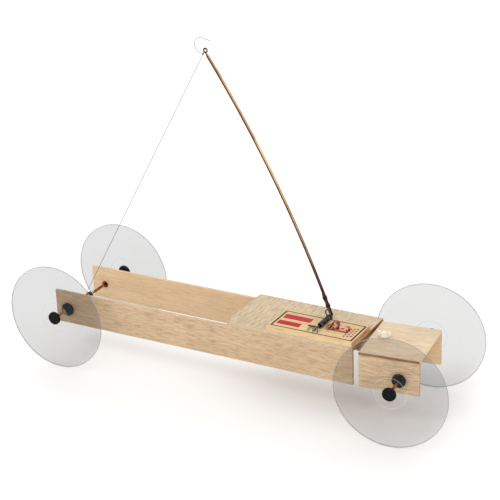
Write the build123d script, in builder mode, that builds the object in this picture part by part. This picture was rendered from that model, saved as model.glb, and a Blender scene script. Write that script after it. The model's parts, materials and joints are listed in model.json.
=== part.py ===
"""Car driven by a snap trap: balsa frame, clear disc wheels, a steered front carriage,
and a spring trap whose lengthened arm pulls a string off the rear axle.

Axes: +X forward, +Y left, +Z up, floor at Z = 0, origin under the middle of the car.
"""

from build123d import *

import os
from math import atan2, cos, hypot, pi, radians, sin

os.makedirs("parts", exist_ok=True)

# ---------------------------------------------------------------- driving sizes, mm

# Frame places: the chassis is measured from the rear axle and its own centreline.
rear_axle_x = -202.0          # rear axle behind the origin
centreline_y = -3.3           # chassis centreline, right of the origin

# Side rails, cut from 3.2 mm sheet
body_width = 76.2             # over both rails
sheet = 3.2
rail_height = 38.0
rail_drop = 17.7              # axle centre above a rail's lower edge
rail_overhang = 16.5          # rail behind the rear axle
rail_front_x = 350.0          # rail front end, ahead of the rear axle

# Main deck, glued on the rails
deck_thickness = 4.8
deck_length = 146.8
deck_corner = 2.5             # rounded rear corners

# Wheels and axles
wheel_radius = 60.0
disc_thickness = 1.2
disc_bore_radius = 5.0
ring_radius = 17.0            # stacking ring moulded on each disc
ring_width = 1.0
ring_height = 0.4
track = 136.0                 # between the middle planes of a pair of discs
rear_axle_shift = 4.7         # rear wheel pair set off to the left
axle_radius = 1.6
axle_proud = 0.5              # axle end beyond its hub
rubber_radius = 7.25          # hubs and spacers
rubber_width = 4.0
rubber_round = 0.9
spacer_gap = 0.5              # spacer clear of the wall it faces
running_clearance = 0.05      # axle in its eyelet, radial

# Brass eyelets
eyelet_wall = 0.8
flange_radius = 3.9
flange_thickness = 0.6

# Steered front carriage, measured from its pivot bolt
pivot_x = rail_front_x + 18.0  # ahead of the rear axle
steer_angle = 5.5             # at rest, anticlockwise from above
carriage_shift = -2.9         # carriage centreline, right of the bolt
carriage_rear = -13.6
carriage_front = 50.8
front_axle_x = 30.0
carriage_gap = 0.4            # front deck above the tongue
front_deck_thickness = 3.2
side_board_height = 36.0

# Tongue and pivot bolt
tongue_width = 44.0
tongue_thickness = 5.0
tongue_rear_x = rail_front_x - 50.0
tongue_front_x = pivot_x + 16.0
bolt_radius = 2.0
bolt_hole_clearance = 0.08
bolt_head_radius = 4.0
bolt_head_height = 2.6
bolt_head_round = 0.9
bolt_chamfer = 0.5
nut_gap = 0.35                # wing nut above the front deck
nut_radius = 4.2
nut_height = 4.2
nut_taper = 8.0               # degrees
wing_thickness = 2.6
bolt_proud = 1.2

# One wing from the nut's middle and foot: (out, up)
wing_outline = [(0, 0.4), (5.4, 0.4), (7.5, 4.0), (6.3, 6.6), (3.9, 5.9), (0, 3.4)]

# Trap: its own frame is at the middle of the base's top face
base_length = 98.0
base_width = 45.2
base_thickness = 5.0
base_rear_x = rail_front_x - 99.0  # behind edge, ahead of the rear axle
base_corner = 0.6
hammer_x = 4.8                # hammer axis ahead of the base's middle
hammer_wire_radius = 0.9
hammer_right_end = -18.0
hammer_bend = 1.5
hammer_leg_length = 25.0
spring_wire_radius = 0.7
spring_radius = 2.1           # of the wire's centre
spring_turns = 13
spring_right_y = -4.0
turn_gap = 0.1                # between the coil's turns
spring_gap = 0.3              # coil, moving turn, staple and base clear of each other
fixed_leg_length = 13.0
staple_wire_radius = 0.5
staple_width = 5.2
staple_depth = 3.6            # leg inside the base
staple_bend = 1.2
staple_gap = 0.2
right_staple_y = -15.7
moving_leg_length = 7.0
hook_length = 4.4
hook_bend = 1.2

# Lever, lashed beside the hammer's leg: straight there, then bent back by the string
lever_lean = 22.0             # lower part, back from upright at rest
lever_radius = 1.6
lever_straight = 26.0
lever_reach = 301.9           # hammer axis to the eye, along the lower part
lever_sweep = 29.4            # eye behind the line of the lower part
lever_heel = -1.0
eye_radius = 2.1
eye_wire_radius = 0.9
lash_places = (9.0, 18.0)
lash_height = 4.0
lash_thickness = 0.7

# Bait pedal
pedal_x = 9.7                 # pedal pin ahead of the hammer axis
pedal_y = 1.2
pedal_rear = -4.0             # plate, from the pin
pedal_front = 20.5
pedal_width = 11.6
pedal_corner = 1.5
pedal_sheet = 0.6
pedal_pin_height = 2.0
knuckle_radius = 1.25
plate_lift = 0.05             # plate's underside above the knuckle's lowest line
pedal_staple_width = 14.4
curl_x = 5.6                  # curl's centre ahead of the pin
curl_radius = 3.5
curl_width = 6.0
curl_open = 60.0              # gap in the curl, degrees

# String
string_radius = 0.25
string_hub_y = 2.4
string_hub_radius = 3.2
string_hub_width = 5.2
collar_radius = 2.6
collar_width = 1.6
winding_turns = 4
winding_pitch = 0.56
string_gap = 0.3              # taut string clear of the turns on the hub and of its knot
knot_radius = 0.8
loop_radius = 1.45

arc_share = 0.45              # of the shorter run that each of the loose end's arcs takes

# Loose end of the string, from the eye's centre: (forward, up)
tail_route = [(-7.3, -2.6), (-11.7, 3.2), (-11.6, 9.8), (-7.0, 13.9), (-1.2, 13.4), (7.2, 11.2)]

# ---------------------------------------------------------------- derived places

axle_height = wheel_radius
rail_bottom = axle_height - rail_drop
rail_top = rail_bottom + rail_height
deck_top = rail_top + deck_thickness
half_width = body_width / 2
half_track = track / 2
disc_inner = half_track - disc_thickness / 2
disc_outer = half_track + disc_thickness / 2
front_deck_bottom = rail_top + carriage_gap
front_deck_top = front_deck_bottom + front_deck_thickness
base_y = -half_width + base_width / 2
base_top = deck_top + base_thickness

chassis = Plane(origin=(rear_axle_x, centreline_y, 0))
carriage = Plane(
    origin=(rear_axle_x + pivot_x, centreline_y, 0),
    x_dir=(cos(radians(steer_angle)), sin(radians(steer_angle)), 0),
    z_dir=(0, 0, 1),
)
trap = Plane(
    origin=(rear_axle_x + base_rear_x + base_length / 2, centreline_y + base_y, base_top)
)

# The spring's coil, its moving turn, the left staple and the hammer's leg stand in a row.
spring_pitch = 2 * spring_wire_radius + turn_gap
coil_length = spring_pitch * spring_turns
pivot_height = spring_radius + spring_wire_radius + spring_gap
moving_turn_y = spring_right_y + coil_length + 2 * spring_wire_radius + spring_gap
left_staple_y = moving_turn_y + spring_wire_radius + staple_wire_radius + spring_gap
hammer_leg_y = left_staple_y + staple_wire_radius + hammer_bend

lean_cos = cos(radians(lever_lean))
lean_sin = sin(radians(lever_lean))
lever = Plane(
    origin=trap.origin + Vector(hammer_x, 0, pivot_height),
    x_dir=(lean_cos, 0, lean_sin),
    z_dir=(-lean_sin, 0, lean_cos),
)
lever_y = hammer_leg_y + hammer_wire_radius + lever_radius


def upright(frame, y):
    """Upright plane of a frame at its side position y: x forward, y up."""
    return Plane(origin=frame.origin + frame.y_dir * y, x_dir=frame.x_dir, z_dir=-frame.y_dir)


def span(side, near, far):
    """Lowest and highest y of a stretch from near to far on side +1 (left) or -1 (right)."""
    return (near, far) if side > 0 else (-far, -near)


def turned(frame, x, z, sections, bore_radius, round_radius=0.0):
    """Round pieces across the frame, from (low y, high y, radius) sections, with one bore."""
    lowest = min(section[0] for section in sections)
    highest = max(section[1] for section in sections)
    widest = max(section[2] for section in sections)
    with BuildPart() as piece:
        for low, high, radius in sections:
            with BuildSketch(upright(frame, high)):
                with Locations((x, z)):
                    Circle(radius)
            extrude(amount=high - low)
        if round_radius:
            rims = piece.edges().filter_by(GeomType.CIRCLE)
            fillet(rims.filter_by(lambda rim: round(rim.radius - widest, 3) == 0), round_radius)
        if bore_radius:
            with BuildSketch(upright(frame, highest)):
                with Locations((x, z)):
                    Circle(bore_radius)
            extrude(amount=highest - lowest, mode=Mode.SUBTRACT)
    return piece


# ---------------------------------------------------------------- side rails and deck

eyelet_bore = axle_radius + running_clearance
eyelet_radius = eyelet_bore + eyelet_wall


def side_wall(frame, outer_y, side, rear, front, bottom, top, hole_x):
    """Upright sheet wall with an axle eyelet's hole; outer_y is its outer face."""
    low, high = span(side, outer_y - sheet, outer_y)
    with BuildPart() as wall:
        with BuildSketch(upright(frame, high)):
            with Locations(((rear + front) / 2, (bottom + top) / 2)):
                Rectangle(front - rear, top - bottom)
            with Locations((hole_x, axle_height)):
                Circle(eyelet_radius, mode=Mode.SUBTRACT)
        extrude(amount=high - low)
    return wall


for side, hand in ((1, "left"), (-1, "right")):
    rail = side_wall(
        chassis, half_width, side, -rail_overhang, rail_front_x, rail_bottom, rail_top, 0
    )
    rail.part.label = f"{hand}_rail"
    export_step(rail.part, f"parts/{hand}_rail.step")

with BuildPart() as main_deck:
    with BuildSketch(chassis.offset(rail_top)):
        with Locations((rail_front_x - deck_length / 2, 0)):
            Rectangle(deck_length, body_width)
    extrude(amount=deck_thickness)
    fillet(main_deck.edges().filter_by(Axis.Z).group_by(Axis.X)[0], deck_corner)
main_deck.part.label = "main_deck"
export_step(main_deck.part, "parts/main_deck.step")


# ---------------------------------------------------------------- eyelets

def eyelet_pair(frame, x, shift):
    """Sections of two brass eyelets, their flanges on the inner faces of the walls."""
    sections = []
    inner = half_width - sheet
    for side in (1, -1):
        for near, far, radius in (
            (inner, half_width, eyelet_radius),
            (inner - flange_thickness, inner, flange_radius),
        ):
            low, high = span(side, near, far)
            sections.append((low + shift, high + shift, radius))
    return turned(frame, x, axle_height, sections, eyelet_bore)


rear_eyelets = eyelet_pair(chassis, 0, 0)
rear_eyelets.part.label = "rear_axle_eyelets"
export_step(rear_eyelets.part, "parts/rear_axle_eyelets.step")

front_eyelets = eyelet_pair(carriage, front_axle_x, carriage_shift)
front_eyelets.part.label = "front_axle_eyelets"
export_step(front_eyelets.part, "parts/front_axle_eyelets.step")


# ---------------------------------------------------------------- wheel sets

def disc_wheel(frame, x, shift, side):
    """Thin clear disc with a moulded stacking ring on its outer face."""
    low, high = span(side, disc_inner, disc_outer)
    ring_low, ring_high = span(side, disc_outer, disc_outer + ring_height)
    with BuildPart() as disc:
        with BuildSketch(upright(frame, high + shift)):
            with Locations((x, axle_height)):
                Circle(wheel_radius)
                Circle(disc_bore_radius, mode=Mode.SUBTRACT)
        extrude(amount=high - low)
        with BuildSketch(upright(frame, ring_high + shift)):
            with Locations((x, axle_height)):
                Circle(ring_radius + ring_width / 2)
                Circle(ring_radius - ring_width / 2, mode=Mode.SUBTRACT)
        extrude(amount=ring_high - ring_low)
    return disc


def wheel_set(name, frame, x, wall_shift, shift):
    """One axle with its discs, hubs and spacers; shift is the wheel pair's side offset."""
    hub_end = disc_outer + rubber_width
    axle_end = hub_end + axle_proud
    axle = turned(frame, x, axle_height, [(shift - axle_end, shift + axle_end, axle_radius)], 0)
    axle.part.label = f"{name}_axle"
    export_step(axle.part, f"parts/{name}_axle.step")
    hub_sections = []
    spacer_sections = []
    for side, hand in ((1, "left"), (-1, "right")):
        disc = disc_wheel(frame, x, shift, side)
        disc.part.label = f"{name}_wheel_{hand}"
        export_step(disc.part, f"parts/{name}_wheel_{hand}.step")
        for near, far, radius in (
            (disc_outer, hub_end, rubber_radius),
            (disc_inner, disc_outer, disc_bore_radius),
        ):
            low, high = span(side, near, far)
            hub_sections.append((low + shift, high + shift, radius))
        wall = half_width + spacer_gap
        low, high = span(side, wall, wall + rubber_width)
        spacer_sections.append((low + wall_shift, high + wall_shift, rubber_radius))
    hubs = turned(frame, x, axle_height, hub_sections, axle_radius, rubber_round)
    hubs.part.label = f"{name}_hubs"
    export_step(hubs.part, f"parts/{name}_hubs.step")
    spacers = turned(frame, x, axle_height, spacer_sections, axle_radius, rubber_round)
    spacers.part.label = f"{name}_spacers"
    export_step(spacers.part, f"parts/{name}_spacers.step")


wheel_set("rear", chassis, 0, 0, rear_axle_shift)
wheel_set("front", carriage, front_axle_x, carriage_shift, carriage_shift)

# ---------------------------------------------------------------- tongue, bolt, wing nut

with BuildPart() as pivot_tongue:
    with BuildSketch(chassis.offset(rail_top)):
        with Locations(((tongue_rear_x + tongue_front_x) / 2, 0)):
            Rectangle(tongue_front_x - tongue_rear_x, tongue_width)
        with Locations((pivot_x, 0)):
            Circle(bolt_radius, mode=Mode.SUBTRACT)
    extrude(amount=-tongue_thickness)
pivot_tongue.part.label = "pivot_tongue"
export_step(pivot_tongue.part, "parts/pivot_tongue.step")

tongue_bottom = rail_top - tongue_thickness
nut_bottom = front_deck_top + nut_gap
bolt_top = nut_bottom + nut_height + bolt_proud

with BuildPart() as pivot_bolt:
    with BuildSketch(carriage.offset(tongue_bottom)):
        Circle(bolt_radius)
    extrude(amount=bolt_top - tongue_bottom)
    chamfer(pivot_bolt.edges().group_by(Axis.Z)[-1], bolt_chamfer)
    with BuildSketch(carriage.offset(tongue_bottom)):
        Circle(bolt_head_radius)
    extrude(amount=-bolt_head_height)
    fillet(pivot_bolt.edges().group_by(Axis.Z)[0], bolt_head_round)
pivot_bolt.part.label = "pivot_bolt"
export_step(pivot_bolt.part, "parts/pivot_bolt.step")

with BuildPart() as wing_nut:
    with BuildSketch(carriage.offset(nut_bottom)):
        Circle(nut_radius)
    extrude(amount=nut_height, taper=nut_taper)
    with BuildSketch(upright(carriage, wing_thickness / 2)):
        for side in (1, -1):
            with BuildLine():
                Polyline(*[(side * out, nut_bottom + up) for out, up in wing_outline], close=True)
            make_face()
    extrude(amount=wing_thickness)
    with BuildSketch(carriage.offset(nut_bottom)):
        Circle(bolt_radius + bolt_hole_clearance)
    extrude(amount=max(up for _, up in wing_outline), mode=Mode.SUBTRACT)
wing_nut.part.label = "wing_nut"
export_step(wing_nut.part, "parts/wing_nut.step")

# ---------------------------------------------------------------- front carriage

with BuildPart() as front_deck:
    with BuildSketch(carriage.offset(front_deck_bottom)):
        with Locations(((carriage_rear + carriage_front) / 2, carriage_shift)):
            Rectangle(carriage_front - carriage_rear, body_width)
        Circle(bolt_radius + bolt_hole_clearance, mode=Mode.SUBTRACT)
    extrude(amount=front_deck_thickness)
front_deck.part.label = "front_deck"
export_step(front_deck.part, "parts/front_deck.step")

carriage_middle = Plane(
    origin=carriage.origin + carriage.y_dir * carriage_shift,
    x_dir=carriage.x_dir,
    z_dir=carriage.z_dir,
)
for side, hand in ((1, "left"), (-1, "right")):
    board = side_wall(
        carriage_middle,
        half_width,
        side,
        carriage_rear,
        carriage_front,
        front_deck_bottom - side_board_height,
        front_deck_bottom,
        front_axle_x,
    )
    board.part.label = f"{hand}_side_board"
    export_step(board.part, f"parts/{hand}_side_board.step")

# ---------------------------------------------------------------- trap base and staples

staple_top = pivot_height + hammer_wire_radius + staple_gap + staple_wire_radius
pedal_pin_x = hammer_x + pedal_x
staple_legs = [
    (hammer_x + side * staple_width / 2, y)
    for y in (right_staple_y, left_staple_y)
    for side in (1, -1)
]
pedal_legs = [(pedal_pin_x, pedal_y + side * pedal_staple_width / 2) for side in (1, -1)]

with BuildPart() as trap_base:
    with BuildSketch(trap):
        RectangleRounded(base_length, base_width, base_corner)
    extrude(amount=-base_thickness)
    with BuildSketch(trap):
        with Locations(*staple_legs, *pedal_legs):
            Circle(staple_wire_radius)
    extrude(amount=-staple_depth, mode=Mode.SUBTRACT)
trap_base.part.label = "trap_base"
export_step(trap_base.part, "parts/trap_base.step")


def staple(plane, width, top):
    """Path of a driven staple on an upright plane, from one buried leg's end to the other."""
    with BuildLine(plane) as outline:
        FilletPolyline(
            (-width / 2, -staple_depth),
            (-width / 2, top),
            (width / 2, top),
            (width / 2, -staple_depth),
            radius=staple_bend,
        )
    return outline.wires()[0]


with BuildPart() as spring_staples:
    for y in (right_staple_y, left_staple_y):
        hammer_plane = upright(trap, y)
        hammer_plane.origin += trap.x_dir * hammer_x
        staple_path = staple(hammer_plane, staple_width, staple_top)
        with BuildSketch(Plane(origin=staple_path @ 0, z_dir=staple_path % 0)):
            Circle(staple_wire_radius)
        sweep(path=staple_path)
spring_staples.part.label = "spring_staples"
export_step(spring_staples.part, "parts/spring_staples.step")

# ---------------------------------------------------------------- torsion spring

with BuildPart() as spring_coil:
    with BuildLine() as coil_line:
        Helix(
            spring_pitch,
            coil_length,
            spring_radius,
            center=trap.origin + Vector(hammer_x, spring_right_y + coil_length, pivot_height),
            direction=(0, -1, 0),
            lefthand=True,
        )
    coil_path = coil_line.wires()[0]
    with BuildSketch(Plane(origin=coil_path @ 0, z_dir=coil_path % 0)):
        Circle(spring_wire_radius)
    sweep(path=coil_path)
    with BuildSketch(Plane(origin=coil_path @ 1, z_dir=coil_path % 1)):
        Circle(spring_wire_radius)
    extrude(amount=fixed_leg_length)
spring_coil.part.label = "spring_coil"
export_step(spring_coil.part, "parts/spring_coil.step")

hook_points = [
    upright(lever, moving_turn_y).from_local_coords((-spring_radius, 0, 0)),
    upright(lever, moving_turn_y).from_local_coords((-spring_radius, moving_leg_length, 0)),
    upright(lever, moving_turn_y + hook_length).from_local_coords(
        (-spring_radius, moving_leg_length, 0)
    ),
]
with BuildPart() as spring_moving_leg:
    with BuildLine(upright(lever, moving_turn_y)) as turn_line:
        CenterArc((0, 0), spring_radius, 90, -270)
    turn_path = turn_line.wires()[0]
    with BuildSketch(Plane(origin=turn_path @ 1, z_dir=turn_path % 1)):
        Circle(spring_wire_radius)
    sweep(path=turn_path)
    with BuildLine() as hook_line:
        FilletPolyline(*hook_points, radius=hook_bend)
    hook_path = hook_line.wires()[0]
    with BuildSketch(Plane(origin=hook_path @ 0, z_dir=hook_path % 0)):
        Circle(spring_wire_radius)
    sweep(path=hook_path)
spring_moving_leg.part.label = "spring_moving_leg"
export_step(spring_moving_leg.part, "parts/spring_moving_leg.step")

# ---------------------------------------------------------------- hammer, lever, lashings

hammer_side = Plane(origin=lever.origin, x_dir=lever.y_dir, z_dir=lever.x_dir)
with BuildPart() as hammer_bar:
    with BuildLine(hammer_side) as hammer_line:
        FilletPolyline(
            (hammer_right_end, 0),
            (hammer_leg_y, 0),
            (hammer_leg_y, hammer_leg_length),
            radius=hammer_bend,
        )
    hammer_path = hammer_line.wires()[0]
    with BuildSketch(Plane(origin=hammer_path @ 0, z_dir=hammer_path % 0)):
        Circle(hammer_wire_radius)
    sweep(path=hammer_path)
hammer_bar.part.label = "hammer_bar"
export_step(hammer_bar.part, "parts/hammer_bar.step")

lever_plane = upright(lever, lever_y)
eye_centre = lever_plane.from_local_coords((-lever_sweep, lever_reach, 0))
bend_angle = atan2(lever_sweep, lever_reach - lever_straight)
rod_end = (
    -lever_sweep + eye_radius * sin(2 * bend_angle),
    lever_reach - eye_radius * cos(2 * bend_angle),
)
bend_radius = hypot(lever_sweep, lever_reach - lever_straight) / (2 * sin(bend_angle))
rod_middle = (
    -bend_radius * (1 - cos(bend_angle)),
    lever_straight + bend_radius * sin(bend_angle),
)
with BuildPart() as lever_arm:
    with BuildLine(lever_plane) as rod_line:
        Line((0, lever_heel), (0, lever_straight))
        ThreePointArc((0, lever_straight), rod_middle, rod_end)
    rod_path = rod_line.wires()[0]
    with BuildSketch(Plane(origin=rod_path @ 0, z_dir=rod_path % 0)):
        Circle(lever_radius)
    sweep(path=rod_path)
    with Locations(Plane(origin=eye_centre, x_dir=lever.x_dir, z_dir=lever.y_dir)):
        Torus(eye_radius, eye_wire_radius)
lever_arm.part.label = "lever_arm"
export_step(lever_arm.part, "parts/lever_arm.step")

lash_inner = hammer_leg_y - hammer_wire_radius
lash_span = lever_y + lever_radius - lash_inner
with BuildPart() as lever_lashings:
    for place in lash_places:
        with BuildSketch(lever.offset(place)):
            with Locations((0, lash_inner + lash_span / 2)):
                SlotOverall(
                    lash_span + 2 * lash_thickness,
                    2 * (lever_radius + lash_thickness),
                    rotation=90,
                )
                SlotOverall(lash_span, 2 * lever_radius, rotation=90, mode=Mode.SUBTRACT)
        extrude(amount=lash_height)
lever_lashings.part.label = "lever_lashings"
export_step(lever_lashings.part, "parts/lever_lashings.step")

# ---------------------------------------------------------------- bait pedal and its staple

pedal_frame = Plane(origin=trap.origin + Vector(pedal_pin_x, pedal_y, 0))
with BuildPart() as pedal_staple:
    pin_plane = Plane(origin=pedal_frame.origin, x_dir=(0, 1, 0), z_dir=(1, 0, 0))
    pin_path = staple(pin_plane, pedal_staple_width, pedal_pin_height)
    with BuildSketch(Plane(origin=pin_path @ 0, z_dir=pin_path % 0)):
        Circle(staple_wire_radius)
    sweep(path=pin_path)
pedal_staple.part.label = "pedal_staple"
export_step(pedal_staple.part, "parts/pedal_staple.step")

plate_low = pedal_pin_height - knuckle_radius + plate_lift
curl_height = plate_low + pedal_sheet / 2 + curl_radius
with BuildPart() as bait_pedal:
    with BuildSketch(pedal_frame.offset(plate_low)):
        with Locations(((pedal_rear + pedal_front) / 2, 0)):
            RectangleRounded(pedal_front - pedal_rear, pedal_width, pedal_corner)
    extrude(amount=pedal_sheet)
    with BuildSketch(upright(pedal_frame, pedal_width / 2)):
        with Locations((0, pedal_pin_height)):
            Circle(knuckle_radius)
    extrude(amount=pedal_width)
    with BuildSketch(upright(pedal_frame, curl_width / 2)):
        with BuildLine() as curl_line:
            CenterArc((curl_x, curl_height), curl_radius, -90, 360 - curl_open)
        trace(curl_line.line, line_width=pedal_sheet)
    extrude(amount=curl_width)
    with BuildSketch(upright(pedal_frame, pedal_width / 2)):
        with Locations((0, pedal_pin_height)):
            Circle(staple_wire_radius + running_clearance)
    extrude(amount=pedal_width, mode=Mode.SUBTRACT)
bait_pedal.part.label = "bait_pedal"
export_step(bait_pedal.part, "parts/bait_pedal.step")

# ---------------------------------------------------------------- string and its hub

def on_axle(low, high, radius):
    """One ring or sleeve pressed on the rear axle, between two side places."""
    return turned(chassis, 0, axle_height, [(low, high, radius)], axle_radius)


hub_low = string_hub_y - string_hub_width / 2
hub_high = string_hub_y + string_hub_width / 2
string_hub = on_axle(hub_low, hub_high, string_hub_radius)
string_hub.part.label = "string_hub"
export_step(string_hub.part, "parts/string_hub.step")

string_collar = on_axle(hub_high, hub_high + collar_width, collar_radius)
string_collar.part.label = "string_collar"
export_step(string_collar.part, "parts/string_collar.step")

with BuildPart() as string_turns:
    for index in range(winding_turns):
        turn_y = string_hub_y + (index - (winding_turns - 1) / 2) * winding_pitch
        turn_centre = chassis.from_local_coords((0, turn_y, axle_height))
        with Locations(Plane(origin=turn_centre, x_dir=(1, 0, 0), z_dir=(0, 1, 0))):
            Torus(string_hub_radius + string_radius, string_radius)
string_turns.part.label = "string_turns"
export_step(string_turns.part, "parts/string_turns.step")

hub_centre = chassis.from_local_coords((0, string_hub_y, axle_height))
pull = eye_centre - hub_centre
pull_angle = atan2(pull.Z, pull.X)
wrap_radius = string_hub_radius + 3 * string_radius + string_gap
string_foot = hub_centre + Vector(-sin(pull_angle), 0, cos(pull_angle)) * wrap_radius
pull_line = (string_foot - eye_centre).normalized()

loop_centre = eye_centre + pull_line * eye_radius
knot_centre = loop_centre + pull_line * (loop_radius + knot_radius / 2)
with BuildPart() as string_knot:
    with Locations(Plane(origin=loop_centre, x_dir=pull_line, z_dir=pull_line.cross(lever.y_dir))):
        Torus(loop_radius, string_radius)
    with Locations(knot_centre):
        Sphere(knot_radius)
string_knot.part.label = "string_knot"
export_step(string_knot.part, "parts/string_knot.step")

string_top = knot_centre + pull_line * (knot_radius + string_gap)
with BuildPart() as string_taut:
    with BuildSketch(Plane(origin=string_foot, z_dir=string_top - string_foot)):
        Circle(string_radius)
    extrude(amount=(string_top - string_foot).length)
string_taut.part.label = "string_taut"
export_step(string_taut.part, "parts/string_taut.step")


def arc_radii(points):
    """Tangent arc radii for a route: a share of the shorter run over the half turn's tangent."""
    radii = []
    for before, corner, after in zip(points, points[1:], points[2:]):
        run_in = corner - before
        run_out = after - corner
        half_turn = radians(run_in.get_angle(run_out)) / 2
        shorter = min(run_in.length, run_out.length)
        radii.append(arc_share * shorter * cos(half_turn) / sin(half_turn))
    return radii


tail_points = [eye_centre + Vector(forward, 0, up) for forward, up in tail_route]
tail_start = knot_centre + (tail_points[0] - knot_centre).normalized() * knot_radius
tail_points = [tail_start] + tail_points
tail_radii = arc_radii(tail_points)
with BuildPart() as string_tail:
    with BuildLine() as tail_line:
        FilletPolyline(*tail_points, radius=tail_radii)
    tail_path = tail_line.wires()[0]
    with BuildSketch(Plane(origin=tail_path @ 0, z_dir=tail_path % 0)):
        Circle(string_radius)
    sweep(path=tail_path)
string_tail.part.label = "string_tail"
export_step(string_tail.part, "parts/string_tail.step")

print("tail radii", [round(radius, 2) for radius in tail_radii])
print("tail length", round(tail_path.length, 2))
print("taut length", round((string_top - string_foot).length, 2))
tail_volume = pi * string_radius**2 * tail_path.length
print("tail volume ratio", round(string_tail.part.volume / tail_volume, 4))
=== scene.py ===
"""Looks of a car that a snap trap drives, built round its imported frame.

Each sub-assembly is a class. Its sizes are dataclass fields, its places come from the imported
frame, and its methods build its meshes and dress them. Lengths are in metres. A mesh is made
in the piece's own place, so every finished object stands at the origin.
"""

import json
import logging
import math
from collections.abc import Iterable, Sequence
from dataclasses import dataclass, replace
from enum import Enum
from typing import ClassVar

import bmesh
import bpy
from mathutils import Matrix, Vector

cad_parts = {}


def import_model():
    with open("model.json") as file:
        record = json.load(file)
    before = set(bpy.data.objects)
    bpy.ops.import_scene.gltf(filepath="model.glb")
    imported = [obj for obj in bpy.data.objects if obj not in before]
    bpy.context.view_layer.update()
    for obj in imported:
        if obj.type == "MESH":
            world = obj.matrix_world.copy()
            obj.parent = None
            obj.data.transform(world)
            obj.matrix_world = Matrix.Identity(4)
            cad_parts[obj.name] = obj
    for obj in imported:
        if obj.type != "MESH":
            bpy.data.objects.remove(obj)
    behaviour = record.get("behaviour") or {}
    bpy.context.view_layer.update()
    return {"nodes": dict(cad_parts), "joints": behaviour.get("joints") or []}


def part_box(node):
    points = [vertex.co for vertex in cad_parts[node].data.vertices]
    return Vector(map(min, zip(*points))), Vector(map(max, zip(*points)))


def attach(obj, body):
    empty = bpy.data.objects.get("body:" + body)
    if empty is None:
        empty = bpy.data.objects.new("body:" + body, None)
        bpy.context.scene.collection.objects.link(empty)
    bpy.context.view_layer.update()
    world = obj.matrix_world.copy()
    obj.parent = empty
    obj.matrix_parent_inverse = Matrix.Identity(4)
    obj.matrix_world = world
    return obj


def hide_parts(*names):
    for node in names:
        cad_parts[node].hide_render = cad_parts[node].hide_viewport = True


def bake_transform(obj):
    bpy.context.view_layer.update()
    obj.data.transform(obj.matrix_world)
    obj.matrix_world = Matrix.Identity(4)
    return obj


LOG = logging.getLogger("snap_trap_car")
MM = 0.001
FULL_TURN = 2 * math.pi
QUARTER_TURN = math.pi / 2
MERGE_DISTANCE = 1e-7
SMOOTH_UNDER = math.radians(38)
SHARP_OVER = 0.9
END_FACING = 0.9
BEND_FACETS = 16
FORWARD = Vector((1, 0, 0))
LEFT = Vector((0, 1, 0))
UP = Vector((0, 0, 1))

Colour = tuple[float, float, float]
Stops = Sequence[tuple[float, Colour]]
Outline = Sequence[tuple[float, float]]
Hole = tuple[float, float, float]
Shape = bmesh.types.BMesh
Socket = bpy.types.NodeSocket
Value = Socket | float | Colour


# ---------------------------------------------------------------- finishes


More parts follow.
